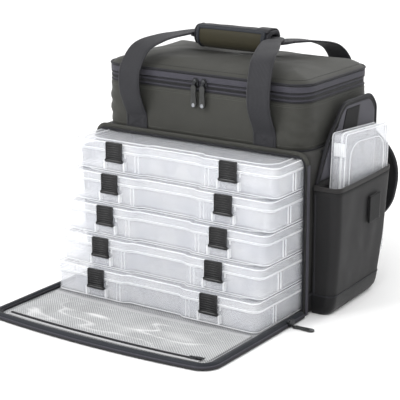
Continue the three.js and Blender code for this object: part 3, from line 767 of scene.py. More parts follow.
def flange_path(half, low, top, radius, count=240):
    """The opening's edge: up the left side, over the top and down the right side."""
    angle = np.linspace(math.pi, math.pi / 2, 9)
    left = np.stack([-half + radius + radius * np.cos(angle),
                     top - radius + radius * np.sin(angle)], -1)
    right = left[::-1] * (-1, 1)
    line = np.concatenate([[(-half, low)], [(-half, (low + top) / 2)], left, right,
                           [(half, (low + top) / 2)], [(half, low)]])
    return resample(line, count)


def add_front_flange():
    """The opening's edge: a padded band swept round it, with a piped inner edge, one row
    of the large zip's teeth on its tape, a stitch row and a sill."""
    front, back = flange_low[1], flange_high[1]
    half, top = flange_high[0], flange_high[2]
    depth = back - front
    inner = 179.4
    zip_end = top - 16

    def ring(half_x, top_z, radius, y, low=0.8):
        """The opening's edge line at one depth."""
        line = flange_path(half_x, low, top_z, radius)
        return np.stack([line[:, 0], np.full(len(line), y), line[:, 1]], -1)

    middle = (half + inner) / 2
    path = ring(middle, top - 4.0, 15, front + depth / 2 + 0.5)
    band = round_profile(depth - 1.2, 7.2, 2)
    up = unit(path * (X + Z) - 90 * Z)
    flange = piece("opening_flange", sweep(path, band, up), "canvas", "pack")
    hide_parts("front_frame")
    sill = np.array([(x, front + 3, 2.1) for x in (-179.5, 179.5)])
    piece("opening_sill", sweep(resample(sill, 60), round_profile(4.0, 2.8, 1.2)),
          "side", "pack")
    piping = ring(inner + 1.2, top - 8.4, 10, front + 2.1)
    piece("opening_piping", sweep(piping, disc(2.0, 10), up), "piping", "pack")
    tape = ring(half - 0.6, top - 0.4, 17.5, front + 3.4)
    sides = tape[:, 2] < zip_end
    for label, keep in (("left", sides & (tape[:, 0] < 0)), ("right", sides & (tape[:, 0] > 0))):
        piece(f"opening_zip_tape_{label}",
              sweep(tape[keep], round_profile(6.4, 1.6, 0.6), up[keep]),
              "tape", "pack")
    places = resample(ring(half - 2.2, top - 2.0, 16.5, front + 0.5), 330)
    places = places[places[:, 2] < zip_end]
    tooth = np.array([1.5, 0.7, 0.62])
    piece("opening_zip_teeth", slabs(places - tooth, places + tooth, 0.3),
          "coil", "pack")
    line = ring(half - 5.2, top - 5.0, 14, front + 0.3, 3.0)
    sew("opening_stitch", resample(line, 600), -Y, (3.8, 2.5, 0.3), "pack")


# ---- upper compartment --------------------------------------------------------------

UPPER_RADIUS = 30.0
UPPER_CENTRE = np.array([0, (lid_low[1] + lid_high[1]) / 2, 0])


def outwards(points):
    """Level unit vectors away from the upper compartment's middle."""
    return unit((points - UPPER_CENTRE) * (X + Y))


def upper_ring(inset, z, swell=0.0):
    """Closed plan of the upper compartment at one height."""
    loop = plan(lid_low, lid_high, inset - swell, UPPER_RADIUS, 8, 34, 18)
    return at_height(loop, z)


def add_upper_compartment():
    """Walls that swell by a half sine over their height, with smooth creases, slanted
    folds round the front corners and tucks that die out above the seam."""
    low, high = box_mm("upper_shell")[0][2], box_mm("upper_shell")[1][2]
    levels = 18
    rings = [upper_ring(1.6, low + 0.1)]
    for share in np.linspace(0, 1, levels):
        rings.append(upper_ring(0, low + 1.2 + share * (high - low - 1.4),
                                1.6 * math.sin(math.pi * share)))
    grid = np.array(rings)
    share = (grid[..., 2] - low) / (high - low)
    middling = np.sin(np.pi * np.clip(share, 0, 1))
    creases = ripple(grid * (1, 1, 0.5), 46, 11) * middling ** 0.5
    corner = np.exp(-((np.abs(grid[..., 0]) - 166) ** 2 + (grid[..., 1] + 88) ** 2) / 900)
    folds = np.sin(grid[..., 2] * 0.33 + grid[..., 0] * 0.09) * corner * 1.3
    tucks = np.exp(-share * 9) * 1.4 * np.cos(grid[..., 0] * 0.11)
    grid += outwards(grid) * (creases * 0.8 + (folds + tucks) * middling)[..., None]
    shell = piece("upper_body", thick(grid, 3.0, True), "canvas", "pack")
    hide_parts("upper_shell")
    floor = np.array([upper_ring(4.2, low + 1.6), upper_ring(4.2, low + 3.0),
                      upper_ring(5, low + 3.2)])
    piece("upper_floor", loft(floor), "inside", "pack")
    dress("divider_board", "inside")
    dress("base_board", "inside")

    seam = upper_ring(-0.6, low + 0.6)
    piece("upper_seam_welt", sweep(seam, disc(1.3, 8), closed=True), "piping", "pack")
    for name, z in (("upper_low_stitch", low + 6.5), ("upper_high_stitch", high - 4.2),
                    ("upper_high_stitch_two", high - 6.6)):
        level = min(int((z - low) / (high - low) * levels) + 1, levels)
        line = at_height(grid[level][:, :2], z) + outwards(seam) * 0.25
        line = spline(line, 700, True)
        sew(name, line, outwards(line), (3.6, 2.3, 0.28), "pack", "thread", True)


def add_top_zip():
    """Tape, welt and teeth below the lid's edge on the body and above it on the lid,
    each swept or set out along the compartment's plan, and the cloth hinge behind."""
    low, high = tape_low[2], tape_high[2]
    middle = (low + high) / 2

    def band(bottom, top, inset=0.4, depth=2.2):
        """A flat band round the compartment between two heights."""
        ring = upper_ring(inset + depth / 2, (bottom + top) / 2)
        return sweep(ring, round_profile(top - bottom, depth, 0.7), outwards(ring), True)

    tape = piece("zip_tape_lower", band(low - 0.2, middle - 0.4), "tape", "pack")
    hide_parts("top_zip_tape")
    piece("zip_tape_upper", band(middle + 0.4, high + 0.2), "tape", "top_lid")
    piece("zip_welt_lower", sweep(upper_ring(0.2, low + 0.3), disc(1.2, 8), closed=True),
          "piping", "pack")
    piece("zip_welt_upper", sweep(upper_ring(0.2, high + 0.1), disc(1.2, 8), closed=True),
          "piping", "top_lid")
    tooth = np.array([0.62, 0.62, 1.3])
    for side, body, proud in ((-1, "pack", 0.0), (1, "top_lid", 0.1)):
        ring = upper_ring(0.1, middle + side * 0.95)
        places = resample(np.concatenate([ring, ring[:1]]), 540)
        places = places[places[:, 1] < lid_high[1] - 26]
        places = places + outwards(places) * proud
        piece(f"zip_teeth_{body}", slabs(places - tooth, places + tooth, 0.3),
              "coil", body)

    # cloth hinge along the rear of the lid
    x, z = np.meshgrid(np.linspace(-140, 140, 40), np.linspace(low - 3, high + 6, 12))
    grid = np.stack([x, np.full_like(x, lid_high[1] + 1.6), z], -1)
    strip = piece("lid_hinge_strip", thick(grid, 1.2), "canvas", None)
    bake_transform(strip)


def dome_height(inset, crown, ease=20.0, reach=88.0):
    """Rise of the lid above its band: an exponential ease over the edge, then nearly
    flat, and the whole crown at the reach."""
    return crown * (1 - np.exp(-np.asarray(inset) / ease)) / (1 - math.exp(-reach / ease))


def add_lid():
    """The padded lid: an upright band, then rings that draw in as they rise to the dome,
    dented by smooth noise, over a flat lining; with its welt, stitch row and tape."""
    low = lid_low[2]
    band = 12.0
    crown = lid_high[2] - low - band
    rings = [upper_ring(1.2, low + 0.2), upper_ring(0, low + 1.4), upper_ring(0, low + 5),
             upper_ring(0, low + 9), upper_ring(0.6, low + band - 0.4)]
    insets = np.concatenate([[2, 4.5, 8, 12], np.linspace(17, 88, 13)])
    for inset in insets:
        rings.append(upper_ring(inset, low + band + dome_height(inset, crown - 1.6)))
    outer = np.array(rings)
    away = outwards(outer)
    depth = np.concatenate([np.zeros(5), insets])
    soft = smooth(depth / 30)[:, None]
    dents = ripple(outer * (1, 1, 0), 85, 21) * 1.5 + ripple(outer * (1, 1, 0), 34, 22) * 0.5
    outer[..., 2] += dents * soft
    outer += away * (ripple(outer, 50, 23) * 0.5 * (1 - soft))[..., None] * (
        depth < 2)[:, None, None]
    inner = outer.copy()
    inner[..., 2] -= 4.0
    inner[:5] -= away[:5] * 3.4
    inner[:4, :, 2] += 4.0
    lid = piece("padded_lid", loft(np.concatenate([outer[::-1], inner])),
                "canvas", "top_lid")
    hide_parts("top_lid")
    edge = upper_ring(-0.2, low + band + 0.3)
    piece("lid_edge_welt", sweep(edge, disc(1.9, 10), closed=True), "piping", "top_lid")
    line = spline(outer[7] + (0, 0, 0.25), 900, True)
    sew("lid_edge_stitch", line, Z, (3.8, 2.4, 0.28), "top_lid", closed=True)
    strip = upper_ring(0.2, low + band / 2 - 0.4)
    piece("lid_band_tape", sweep(strip, round_profile(8.6, 2.6, 0.8), outwards(strip), True),
          "tape", "top_lid")


def add_slider(name):
    """A zip slider on the top zip: an oval plate drawn in at its waist by a squared
    cosine, a bridge, a round knob and a hanging pull."""
    low, high = box_mm(f"top_slider_{name}")
    pull_low, pull_high = box_mm(f"top_puller_{name}")
    x = (pull_low[0] + pull_high[0]) / 2
    middle = (low + high) / 2
    y = high[1]
    width, height = high[0] - low[0], high[2] - low[2]
    angle = np.linspace(0, TAU, 28, endpoint=False)
    waist = 1 - 0.16 * np.cos(2 * angle) ** 2
    shape = np.stack([np.cos(angle) * width / 2 * waist * 1.06,
                      np.sin(angle) * height / 2 * 1.02], -1)
    plate = loft(np.array([
        np.stack([middle[0] + shape[:, 0] * scale, np.full(28, y - out),
                  middle[2] + shape[:, 1] * scale], -1)
        for out, scale in ((0.0, 0.94), (0.5, 1.0), (1.7, 1.0), (2.3, 0.92))]))
    arch = spline([(x, y - 2.0, middle[2] + 4.6), (x, y - 4.3, middle[2] + 3.6),
                   (x, y - 5.0, middle[2]), (x, y - 4.3, middle[2] - 3.6),
                   (x, y - 2.0, middle[2] - 4.6)], 14)
    bridge = sweep(arch, round_profile(4.6, 1.5, 0.6), -Y)
    knob = loft(np.array([
        np.stack([x + radius * np.cos(angle), np.full(28, y - out),
                  middle[2] + 2.2 + radius * np.sin(angle)], -1)
        for out, radius in ((1.8, 3.6), (2.6, 4.3), (4.0, 4.0), (4.9, 2.6), (5.2, 1.0))]))
    made = piece(f"zip_slider_{name}", join(plate, bridge, knob), "slider",
                 f"top_slider_{name}")
    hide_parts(f"top_slider_{name}")
    add_pull(f"top_pull_{name}", f"top_puller_{name}", hangs=True)


def add_pull(name, node, hangs):
    """A moulded pull on the body of its node's name: a rounded tongue with raised grip
    bars and a pale metal tip. It hangs down, or it lies to the right."""
    low, high = box_mm(node)
    middle = (low + high) / 2
    across, along, out = (X, -Z, -Y) if hangs else (Y, X, Z)
    width, length, deep = (abs((high - low) @ axis) for axis in (across, along, out))

    def tongue(start, end, scale, swell=0.0):
        """A rounded slab between two places along the pull, drawn in by a bell curve
        at its waist and rounded over both faces by ring insets."""
        half = (end - start) / 2
        loop = outline(width / 2 * scale, half, min(width / 2 * scale, half) - 0.2, 6, 1, 8)
        waist = 1 - 0.22 * np.exp(-((loop[:, 1] + half * 0.3) / 7.0) ** 2)
        loop = loop * np.stack([waist, np.ones(len(loop))], -1)
        rings = []
        for level, inset in ((-1, 0.5), (-0.7, 0.0), (0.5, 0.0), (0.85, 0.35), (1, 0.9)):
            ring = loop * (1 - 2 * inset / np.array([width, 2 * half]))
            place = middle + along * (start + half - length / 2)
            rings.append(place + ring[:, :1] * across + ring[:, 1:] * along
                         + out * (level * (deep / 2 + swell)))
        return loft(np.array(rings))

    made = piece(name, tongue(0, length, 1.0), "puller", node)
    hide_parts(node)
    bars = []
    for step in range(4):
        place = middle + along * (length * (0.30 + 0.1 * step) - length / 2)
        reach = (np.abs(across) * width * 0.26 + np.abs(along) * 0.55
                 + np.abs(out) * (deep / 2 + 0.35))
        bars.append(slabs(place - reach, place + reach, 0.3))
    piece(f"{name}_bars", join(*bars), "puller", node)
    piece(f"{name}_tip", tongue(length * 0.79, length * 0.975, 0.72, 0.3),
          "tip", node)
    ring_place = middle - along * (length / 2 - 2.5)
    angles = np.linspace(0, TAU, 20, endpoint=False)
    loop = (ring_place + np.outer(np.cos(angles), across) * 2.6
            + np.outer(np.sin(angles), along) * 3.4 + out * 0.2)
    piece(f"{name}_link", sweep(loop, disc(0.8, 6), out, True), "slider", node)


# ---- carry handles ------------------------------------------------------------------

GRIP_Y = 4.0
GRIP_RISE = 22.8
WRAP_HALF = box_mm("grip_wrap")[1][0]


def tab_face(face):
    """Where the sewn tabs lie: the lid's front face for -1, its rear face for 1."""
    return lid_low[1] if face < 0 else lid_high[1]


def handle_route(face):
    """Middle line of one handle with its outward normal and its fold, from 0, flat, to 1,
    folded for the grip. It starts on the sewn tab. face is -1 in front, 1 behind."""
    root = tab_face(face) + face * 3.9
    height = lid_high[2] + GRIP_RISE - face * 2.75
    reach = abs(GRIP_Y - root)
    rows = [(TAB_X, -2.1 * face, tab_top - 26.5, (0, face, 0), 0),
            (TAB_X, -2.1 * face, tab_top - 14, (0, face, 0), 0),
            (TAB_X, -1.2 * face, tab_top - 4, (0, face, 0), 0),
            (TAB_X, 8.0 * face, tab_top + 14, (0, face, -0.5), 0),
            (TAB_X, 15.0 * face, tab_top + 32, (0, face, -0.1), 0),
            (TAB_X, 16.0 * face, tab_top + 52, (0, face, 0.15), 0),
            (TAB_X - 1, 12.0 * face, tab_top + 70, (0, face, 0.4), 0),
            (TAB_X - 7, -6.0 * face, height - 14, (0, face * 0.75, 1), 0.05),
            (TAB_X - 19, -0.38 * reach * face, height - 3.5, (0, face * 0.2, 1), 0.2),
            (TAB_X - 34, -0.72 * reach * face, height, (0, 0, 1), 0.5),
            (WRAP_HALF + 10, -(reach - 5) * face, height, (0, 0, 1), 1),
            (WRAP_HALF + 2, -reach * face, height, (0, 0, 1), 1),
            (30, -reach * face, height, (0, 0, 1), 1)]
    rows += [(-x, y, z, normal, fold) for x, y, z, normal, fold in rows[::-1]]
    return np.array([(x, root + y, z, *normal, fold) for x, y, z, normal, fold in rows])


def add_handle(node, face):
    """One carry handle: webbing swept along its route, its width and thickness going from flat to
    folded by the route's fold, with stitch rows and a sewn box on each tab."""
    table = handle_route(face)
    line = spline(table[:, :3], 361)
    marks = np.linalg.norm(line[:, None] - table[None, :, :3], axis=2).argmin(0)
    marks[0], marks[-1] = 0, len(line) - 1
    steps = np.arange(len(line))
    extra = np.stack([np.interp(steps, marks, table[:, 3 + k]) for k in range(4)], -1)
    fold = extra[:, 3]
    flat, folded = np.array([WEBBING, 2.2]), np.array([20.0, 4.0])
    size = flat + (folded - flat) * fold[:, None]

    def rooted(made):
        """Bakes a piece's place into its mesh; the piece rides on no body."""
        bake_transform(made)
        return made

    strap = piece(f"{node}_webbing",
                  sweep(line, strap_profile(2, 2)[None] * size[:, None] / 2, extra[:, :3]),
                  "webbing", None)
    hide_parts(node)
    rooted(strap)
    _, side, top = frames(line, unit(extra[:, :3]))
    half_way = 180
    for label, sign in (("a", -1), ("b", 1)):
        edge = line + side * (sign * (size[:, :1] / 2 - 3.2)) + top * size[:, 1:] / 2 * 0.95
        for end, part in (("left", slice(0, half_way)), ("right", slice(half_way, None))):
            keep = fold[part] < 0.35
            rooted(sew(f"{node}_stitch_{label}_{end}", edge[part][keep], top[part][keep],
                       (3.6, 2.4, 0.26), None))
    root_y = tab_face(face) + face * 3.1
    low, high = tab_top - 25, tab_top - 5
    for sign, label in ((-1, "left"), (1, "right")):
        corners = np.array([(-15, low), (15, low), (15, high), (-15, high), (-15, low)])
        cross = [np.array([(-15, low), (15, high)]), np.array([(-15, high), (15, low)])]
        shapes = []
        for run in (corners, *cross):
            path = resample(np.stack([run[:, 0] + sign * TAB_X, np.full(len(run), root_y),
                                      run[:, 1]], -1), 90)
            shapes.append(stitches(path, np.array((0, face, 0)), 3.0, 2.1, 0.32))
        piece(f"{node}_box_stitch_{label}", join(*shapes), "dark_thread", "pack")


def wrap_section(extra, start=0.0, end=1.0, count=44):
    """Open outline of the rolled grip as four arcs, from the rear slit over the top and
    round below, or the share of it between start and end."""
    half_y, half_z, radius = 17.0, 14.5, 12.0
    arcs = [(half_y - radius, half_z - radius, 9, 90),
            (-half_y + radius, half_z - radius, 90, 180),
            (-half_y + radius, -half_z + radius, 180, 270),
            (half_y - radius, -half_z + radius, 270, 322)]
    points = []
    for y, z, first, last in arcs:
        angle = np.radians(np.linspace(first, last, 9))
        points.append(np.stack([y + (radius + extra) * np.cos(angle),
                                z + (radius + extra) * np.sin(angle)], -1))
    line = resample(np.concatenate(points), 241)
    return resample(line[int(start * 240):int(end * 240) + 1], count)


def add_grip():
    """The rolled grip: a pad that swells towards its middle by an eighth-power curve, an
    olive panel with a pillowed face and a pressed seam, bound edges and a closing tab."""
    middle = np.array([0, GRIP_Y, lid_high[2] + GRIP_RISE])

    def skin(extra, start=0.0, end=1.0, reach=WRAP_HALF, count=44, swell=1.6, steps=41):
        """The roll's sections set out along it, each puffed out by its place."""
        along = np.linspace(-reach, reach, steps)
        rows = []
        for place in along:
            puff = swell * (1 - (place / WRAP_HALF) ** 8) - 0.5
            section = wrap_section(extra + puff, start, end, count)
            rows.append(np.stack([np.full(count, place), section[:, 0], section[:, 1]], -1))
        return np.array(rows) + middle

    grid = skin(0.0)
    grid += unit((grid - middle) * (0, 1, 1)) * (ripple(grid, 26, 31) * 0.4)[..., None]
    pad = piece("grip_pad", thick(grid, 5.2), "piping", "front_handle")
    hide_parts("grip_wrap")
    start, end = 0.40, 0.90
    reach = WRAP_HALF - 6.5
    panel = skin(1.4, start, end, reach, 26, 2.0, 33)
    share = np.linspace(0, 1, 26)
    across = np.linspace(-1, 1, 33)
    pillow = (1 - across[:, None] ** 6) * (1 - (2 * share[None] - 1) ** 6)
    seam = np.exp(-((share[None] - 0.82) / 0.04) ** 2) * (np.abs(across[:, None]) < 0.9)
    panel += unit((panel - middle) * (0, 1, 1)) * (pillow * 1.6 - seam * 0.9)[..., None]
    olive = piece("grip_panel", thick(panel, 1.6), "olive", "front_handle")
    border = skin(1.6, start, end, reach, 26, 2.0, 33)
    loop = np.concatenate([border[:, 0], border[-1, 1:], border[::-1, -1][1:],
                           border[0, ::-1][1:-1]])
    smooth_loop = spline(resample(np.concatenate([loop, loop[:1]]), 56, True), 260, True)
    outward = unit((smooth_loop - middle) * (0.15, 1, 1))
    piece("grip_panel_binding", sweep(smooth_loop, round_profile(6.4, 3.0, 1.3), outward,
                                      True), "binding", "front_handle")
    line = smooth_loop + outward * 1.45
    sew("grip_panel_stitch", line, outward, (3.2, 2.2, 0.28), "front_handle",
        "thread", True)
    for label, place in (("left", -WRAP_HALF), ("right", WRAP_HALF)):
        section = wrap_section(-0.2, 0, 1, 60)
        ring = np.stack([np.full(60, place), *section.T], -1) + middle
        away = unit((ring - middle) * (0, 1, 1))
        piece(f"grip_end_binding_{label}", sweep(ring - away * 2.4,
                                                 round_profile(4.2, 6.6, 1.9), away),
              "piping", "front_handle")
    tab = skin(2.4, 0.02, 0.40, 11, 22, 1.2, 15) + (WRAP_HALF - 11.5, 0, 0)
    piece("grip_closing_tab", thick(tab, 1.8), "webbing", "front_handle")


# ---- side pockets -------------------------------------------------------------------


RIGHT_TAPER = 8.0
RIGHT_SETBACK = 8.0
POCKET_LEAN = np.array([1, 0.35, 0])


def pocket_loop(side, out, front, rear, inset, steps=7):
    """Plan of a pocket at one height: flat to the body, round at its outer corners. The
    right one draws in towards its rear, where it is pulled against the slim box."""
    inner = box_mm("right_pocket")[0][0] + 0.2 + inset * 0.5
    outer = box_mm("right_pocket")[0][0] + out - inset
    front, rear = front + inset, rear - inset
    middle = np.array([(inner + outer) / 2, (front + rear) / 2])
    loop = outline((outer - inner) / 2, (rear - front) / 2, (1, 13, 13, 1), steps, 8, 26)
    loop = loop + middle
    if side < 0:
        return loop[::-1] * (-1, 1)
    share = (loop[:, 0] - inner) / (outer - inner) * (loop[:, 1] - front) / (rear - front)
    return loop - np.stack([RIGHT_TAPER * share, 0 * share], -1)


def pocket_levels(side, lip, count=22):
    """Heights with the pocket's stand-out and rear edge: straight runs between four."""
    places = np.array([0.3, 12, lip * 0.45, lip])
    out = np.array([26, 33, 37.8, 41.0])
    rear = np.array([70, 76, 83.65, 93.0]) - ((8, 8, 6, 4) if side > 0 else 0)
    z = np.concatenate([[0.6], np.linspace(2.6, lip, count)])
    return z, np.interp(z, places, out), np.interp(z, places, rear)


def add_pocket(side, label):
    """A side pouch: plans that stand out further towards its lip, swollen by a half sine
    and creased where it is free, with a black boot, bound mouth, stitches and welts."""
    node = f"{label}_pocket"
    low, high = box_mm(node)
    lip = high[2]
    front = low[1] + (RIGHT_SETBACK if side > 0 else 0)
    z, out, rear = pocket_levels(side, lip)
    swell = 1.0 * np.sin(np.pi * z / lip)
    outer = [at_height(pocket_loop(side, o + s, front, r, 0), h)
             for h, o, r, s in zip(z, out, rear, swell)]
    bottom = at_height(pocket_loop(side, out[0], front, rear[0], 4), 0.4)
    inner = [at_height(pocket_loop(side, o + s, front, r, 2.2), h)
             for h, o, r, s in zip(z, out, rear, swell)]
    inner[0][:, 2] = 3.0
    outer, inner = np.array(outer), np.array(inner)
    centre = np.array([side * 205.0, 0, 0])
    for grid in (outer, inner):
        away = unit((grid - centre) * POCKET_LEAN)
        free = (np.abs(grid[..., 0]) > 192) * np.sin(
            np.pi * np.clip(grid[..., 2] / lip, 0, 1)) ** 0.5
        crease = ripple(grid * (1, 1, 0.55), 60, 41) * 0.9 + ripple(grid, 24, 42) * 0.25
        grid += away * (crease * free)[..., None]
    rings = np.concatenate([bottom[None], outer, inner[::-1]])
    pouch = piece(f"{label}_pouch", loft(rings), "pocket", "pack")
    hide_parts(node)
    boot_top = guard_high[2]
    heights = np.array([0.2, 1.0, 4, 10, 18, boot_top - 2, boot_top])
    reach, ends = np.interp(heights, z, out), np.interp(heights, z, rear)
    boot = np.array([at_height(pocket_loop(side, o + 1.1, front - 0.9, r + 0.9, i), h)
                     for h, o, r, i in zip(heights, reach, ends, (4, 1.2, 0, 0, 0, 0, 0.2))])
    inside = np.array([at_height(pocket_loop(side, o + 0.3, front - 0.2, r + 0.2, 0.2), h)
                       for h, o, r in zip(heights[::-1], reach[::-1], ends[::-1])])
    inside[-1][:, 2] = 0.9
    piece(f"{label}_pocket_boot", loft(np.concatenate([boot, inside])), "boot",
          "pack")
    seam = boot[-1] + (0, 0, 0.2)
    piece(f"{label}_pocket_boot_welt", sweep(seam, disc(1.0, 8), closed=True),
          "piping", "pack")
    hem_low, hem_high = box_mm(f"{label}_pocket_hem")
    middle = (hem_low[2] + hem_high[2]) / 2
    ring = at_height(pocket_loop(side, 42, front - 1, rear[-1] + 1, 1.7), middle)
    away = unit((ring - centre) * POCKET_LEAN)
    ring[:, 2] -= 1.2 * (np.abs(ring[:, 0]) > 215) * np.cos(ring[:, 1] / 60)
    hem = piece(f"{label}_pocket_mouth_binding",
                sweep(ring, round_profile(6.6, 3.4, 1.4), away, True), "hem", "pack")
    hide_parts(f"{label}_pocket_hem")
    line = at_height(pocket_loop(side, 42.0, front - 0.6, rear[-1] + 0.2, 0), lip - 3.2)
    sew(f"{label}_pocket_hem_stitch", spline(line, 600, True), side * X, (3.8, 2.5, 0.28),
        "pack", closed=True)
    heights = np.linspace(boot_top + 2, lip - 4, 40)
    for spot, y in (("front", np.full(40, front - 0.3)),
                    ("rear", np.interp(heights, z, rear) + 0.3)):
        path = np.stack([np.full(40, side * 189.9), y, heights], -1)
        piece(f"{label}_pocket_{spot}_welt", sweep(path, disc(1.5, 8), (side, 0, 0)),
              "piping", "pack")


def add_pocket_patch():
    """The hook-and-loop patch: a grid laid on the right pocket's face, with its stitches."""
    low, high = box_mm("right_pocket_patch")
    pocket_low, pocket_high = box_mm("right_pocket")
    lip = pocket_high[2]
    z_levels, out, rear = pocket_levels(1, lip)
    front = pocket_low[1] + RIGHT_SETBACK

    def face(y, z):
        """The pocket's outer face at a place: its stand-out less the taper's share."""
        reach = np.interp(z, z_levels, out) + np.sin(np.pi * z / lip)
        back = np.interp(z, z_levels, rear)
        return pocket_low[0] + 0.2 + reach - RIGHT_TAPER * (y - front) / (back - front)

    y, z = np.meshgrid(np.linspace(low[1], high[1], 15), np.linspace(low[2], high[2], 15))
    shape = thick(np.stack([face(y, z) + 1.9, y, z], -1)[:, ::-1], 2.6)
    patch = piece("pocket_hook_patch", shape, "velcro", "pack")
    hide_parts("right_pocket_patch")
    (y_a, z_a), (y_b, z_b) = low[1:] + 2, high[1:] - 2
    corners = [(y_a, z_a), (y_b, z_a), (y_b, z_b), (y_a, z_b), (y_a, z_a)]
    corners = resample(np.array(corners), 120)
    path = np.stack([face(*corners.T) + 2.0, *corners.T], -1)
    sew("pocket_patch_stitch", path, X, (3.2, 2.2, 0.28), "pack")


# ---- pocket flaps -------------------------------------------------------------------


def add_right_flap():
    """The open flap stands behind the slim box, its lining and hook strip facing out: its front
    edge slants back with height, and both top corners drop by a power of the distance into them."""
    low, high = box_mm("right_flap_back")
    tip_low, tip_high = box_mm("right_flap_tip")
    base, tip = low[2], tip_high[2] - 5
    slant = 50
    span = high[1] - low[1] - slant

    def surface(margin, lift, count=34, rows=44, bottom=0.0):
        """The flap's face, drawn in by a margin and lifted outwards."""
        u = np.linspace(0, 1, count)
        v = np.linspace(bottom, 1, rows)[:, None]
        front = low[1] + slant * v + margin
        y = front + (high[1] - margin - front) * u[None]
        drop = (np.clip(1 - u * span / 34, 0, 1) ** 2.2 * 26
                + np.clip(1 - (1 - u) * span / 26, 0, 1) ** 2.2 * 20)
        z = base + (tip - base - margin - drop[None] * v ** 2) * v
        return np.stack([np.full_like(y, (low[0] + high[0]) / 2 - 0.8 + lift), y, z], -1)

    def bent(made):
        """Bakes a piece's place into its mesh; the piece rides on no body."""
        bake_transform(made)
        return made

    outer = surface(0, 1.1)
    cloth = bent(piece("right_flap_cloth", wall(outer, outer - 2.4 * X),
                       "pocket", None))
    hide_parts("right_flap_back", "right_flap_tip")
    inside = surface(5.5, 1.75, bottom=0.04)
    bent(piece("right_flap_lining", wall(inside, inside - 0.7 * X), "lining",
               None))
    strip = surface(5.5, 2.2, 40, 44, 0.1)[:-2, 9:24]
    bent(piece("right_flap_hook_strip", wall(strip, strip - 0.9 * X), "velcro", None))
    border = np.concatenate([outer[:, 0], outer[-1, 1:-1], outer[::-1, -1]])
    border = spline(resample(border, 60), 220) - X
    bent(piece("right_flap_binding", sweep(border, round_profile(4.4, 4.4, 1.9), X),
               "piping", None))
    line = surface(4.6, 2.1)
    path = np.concatenate([line[:, 0], line[-1, 1:-1], line[::-1, -1]])
    bent(sew("right_flap_stitch", resample(path, 400), X, (3.6, 2.4, 0.28), None))


def add_left_flap():
    """The closed flap: its section runs from its root on the body over the pocket's mouth
    and down its face, and its lower corners rise by a power of the distance into them."""
    low, high = box_mm("left_flap")
    root, crest, outside = high[0], high[2], low[0] + 1.5
    line = np.array([(root - 1.6, crest), (root - 2.2, crest - 8), (root - 12, crest - 13.4),
                     (root - 26, crest - 17.8), (root - 37, crest - 20.4),
                     (root - 43.4, crest - 25.4), (outside, crest - 36),
                     (outside, crest - 58), (outside, low[2])])
    rows, columns = 56, 40
    path = spline(line, rows)
    y = np.linspace(low[1], high[1], columns)
    v = np.linspace(0, 1, rows)
    corner = np.minimum(y - low[1], high[1] - y)
    drop = 14 * np.clip(1 - corner / 20, 0, 1) ** 2.2
    grid = np.stack([np.broadcast_to(path[:, None, 0], (rows, columns)),
                     np.broadcast_to(y[None], (rows, columns)),
                     path[:, None, 1] + drop[None] * smooth((v - 0.6) / 0.4)[:, None]], -1)
    grid[..., 0] -= ripple(grid, 44, 51) * 0.5 * smooth((v - 0.6) / 0.3)[:, None]
    cloth = piece("left_flap_cloth", thick(grid, 2.6), "pocket", "left_flap")
    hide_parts("left_flap")
    border = np.concatenate([grid[4:, 0], grid[-1, 1:-1], grid[4:, -1][::-1]])
    border = spline(resample(border, 70), 260)
    piece("left_flap_binding", sweep(border, round_profile(4.2, 5.6, 1.7), (-1, 0, 0.4)),
          "piping", "left_flap")


# ---- back and shoulder straps -------------------------------------------------------


def add_back():
    """The back cushion: a plan that narrows towards its top, crowned by an exponential of
    the distance to its edge and pressed in by bell-shaped channels; and both straps."""
    low, high = box_mm("back_pad")
    rows, columns = 70, 60
    v = np.linspace(0, 1, rows)[:, None]
    u = np.linspace(-1, 1, columns)[None]
    z = low[2] + (high[2] - low[2]) * v
    narrow = 88.0
    half = high[0] + (narrow - high[0]) * smooth((z - 224) / 18)
    corner = 16 * np.clip(1 - (z - low[2]) / 16, 0, 1) ** 2.2
    half = half - corner - 12 * np.clip(1 - (high[2] - z) / 14, 0, 1) ** 2.2
    x = u * half
    edge = np.minimum((1 - np.abs(u)) * half, np.minimum(z - low[2], high[2] - z))
    crown = 1 - np.exp(-np.maximum(edge, 0) / 7)
    groove = np.zeros((rows, columns))
    for place in (-52, 52):
        groove = groove + np.exp(-((x - place) / 3.0) ** 2)
    for place in (92, 150, 208):
        groove = groove + np.exp(-((z - place) / 3.0) ** 2) * (np.abs(x) > 52)
    depth = (high[1] - low[1]) * crown * (1 - 0.55 * np.clip(groove, 0, 1))
    outer = np.stack([x, low[1] + 1.2 + depth * 0.9, z + 0 * u], -1)
    inner = np.stack([x, np.full((rows, columns), low[1] + 0.1), z + 0 * u], -1)
    pad = piece("back_cushion", wall(outer, inner), "foam", "pack")
    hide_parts("back_pad")
    border = np.concatenate([outer[0], outer[1:-1, -1], outer[-1][::-1], outer[1:-1, 0][::-1]])
    border = spline(resample(np.concatenate([border, border[:1]]), 90, True), 360, True)
    piece("back_cushion_binding", sweep(border, round_profile(3.6, 4.4, 1.5), Y, True),
          "piping", "pack")
    for side, label in ((-1, "left"), (1, "right")):
        add_shoulder_strap(side, label, high)


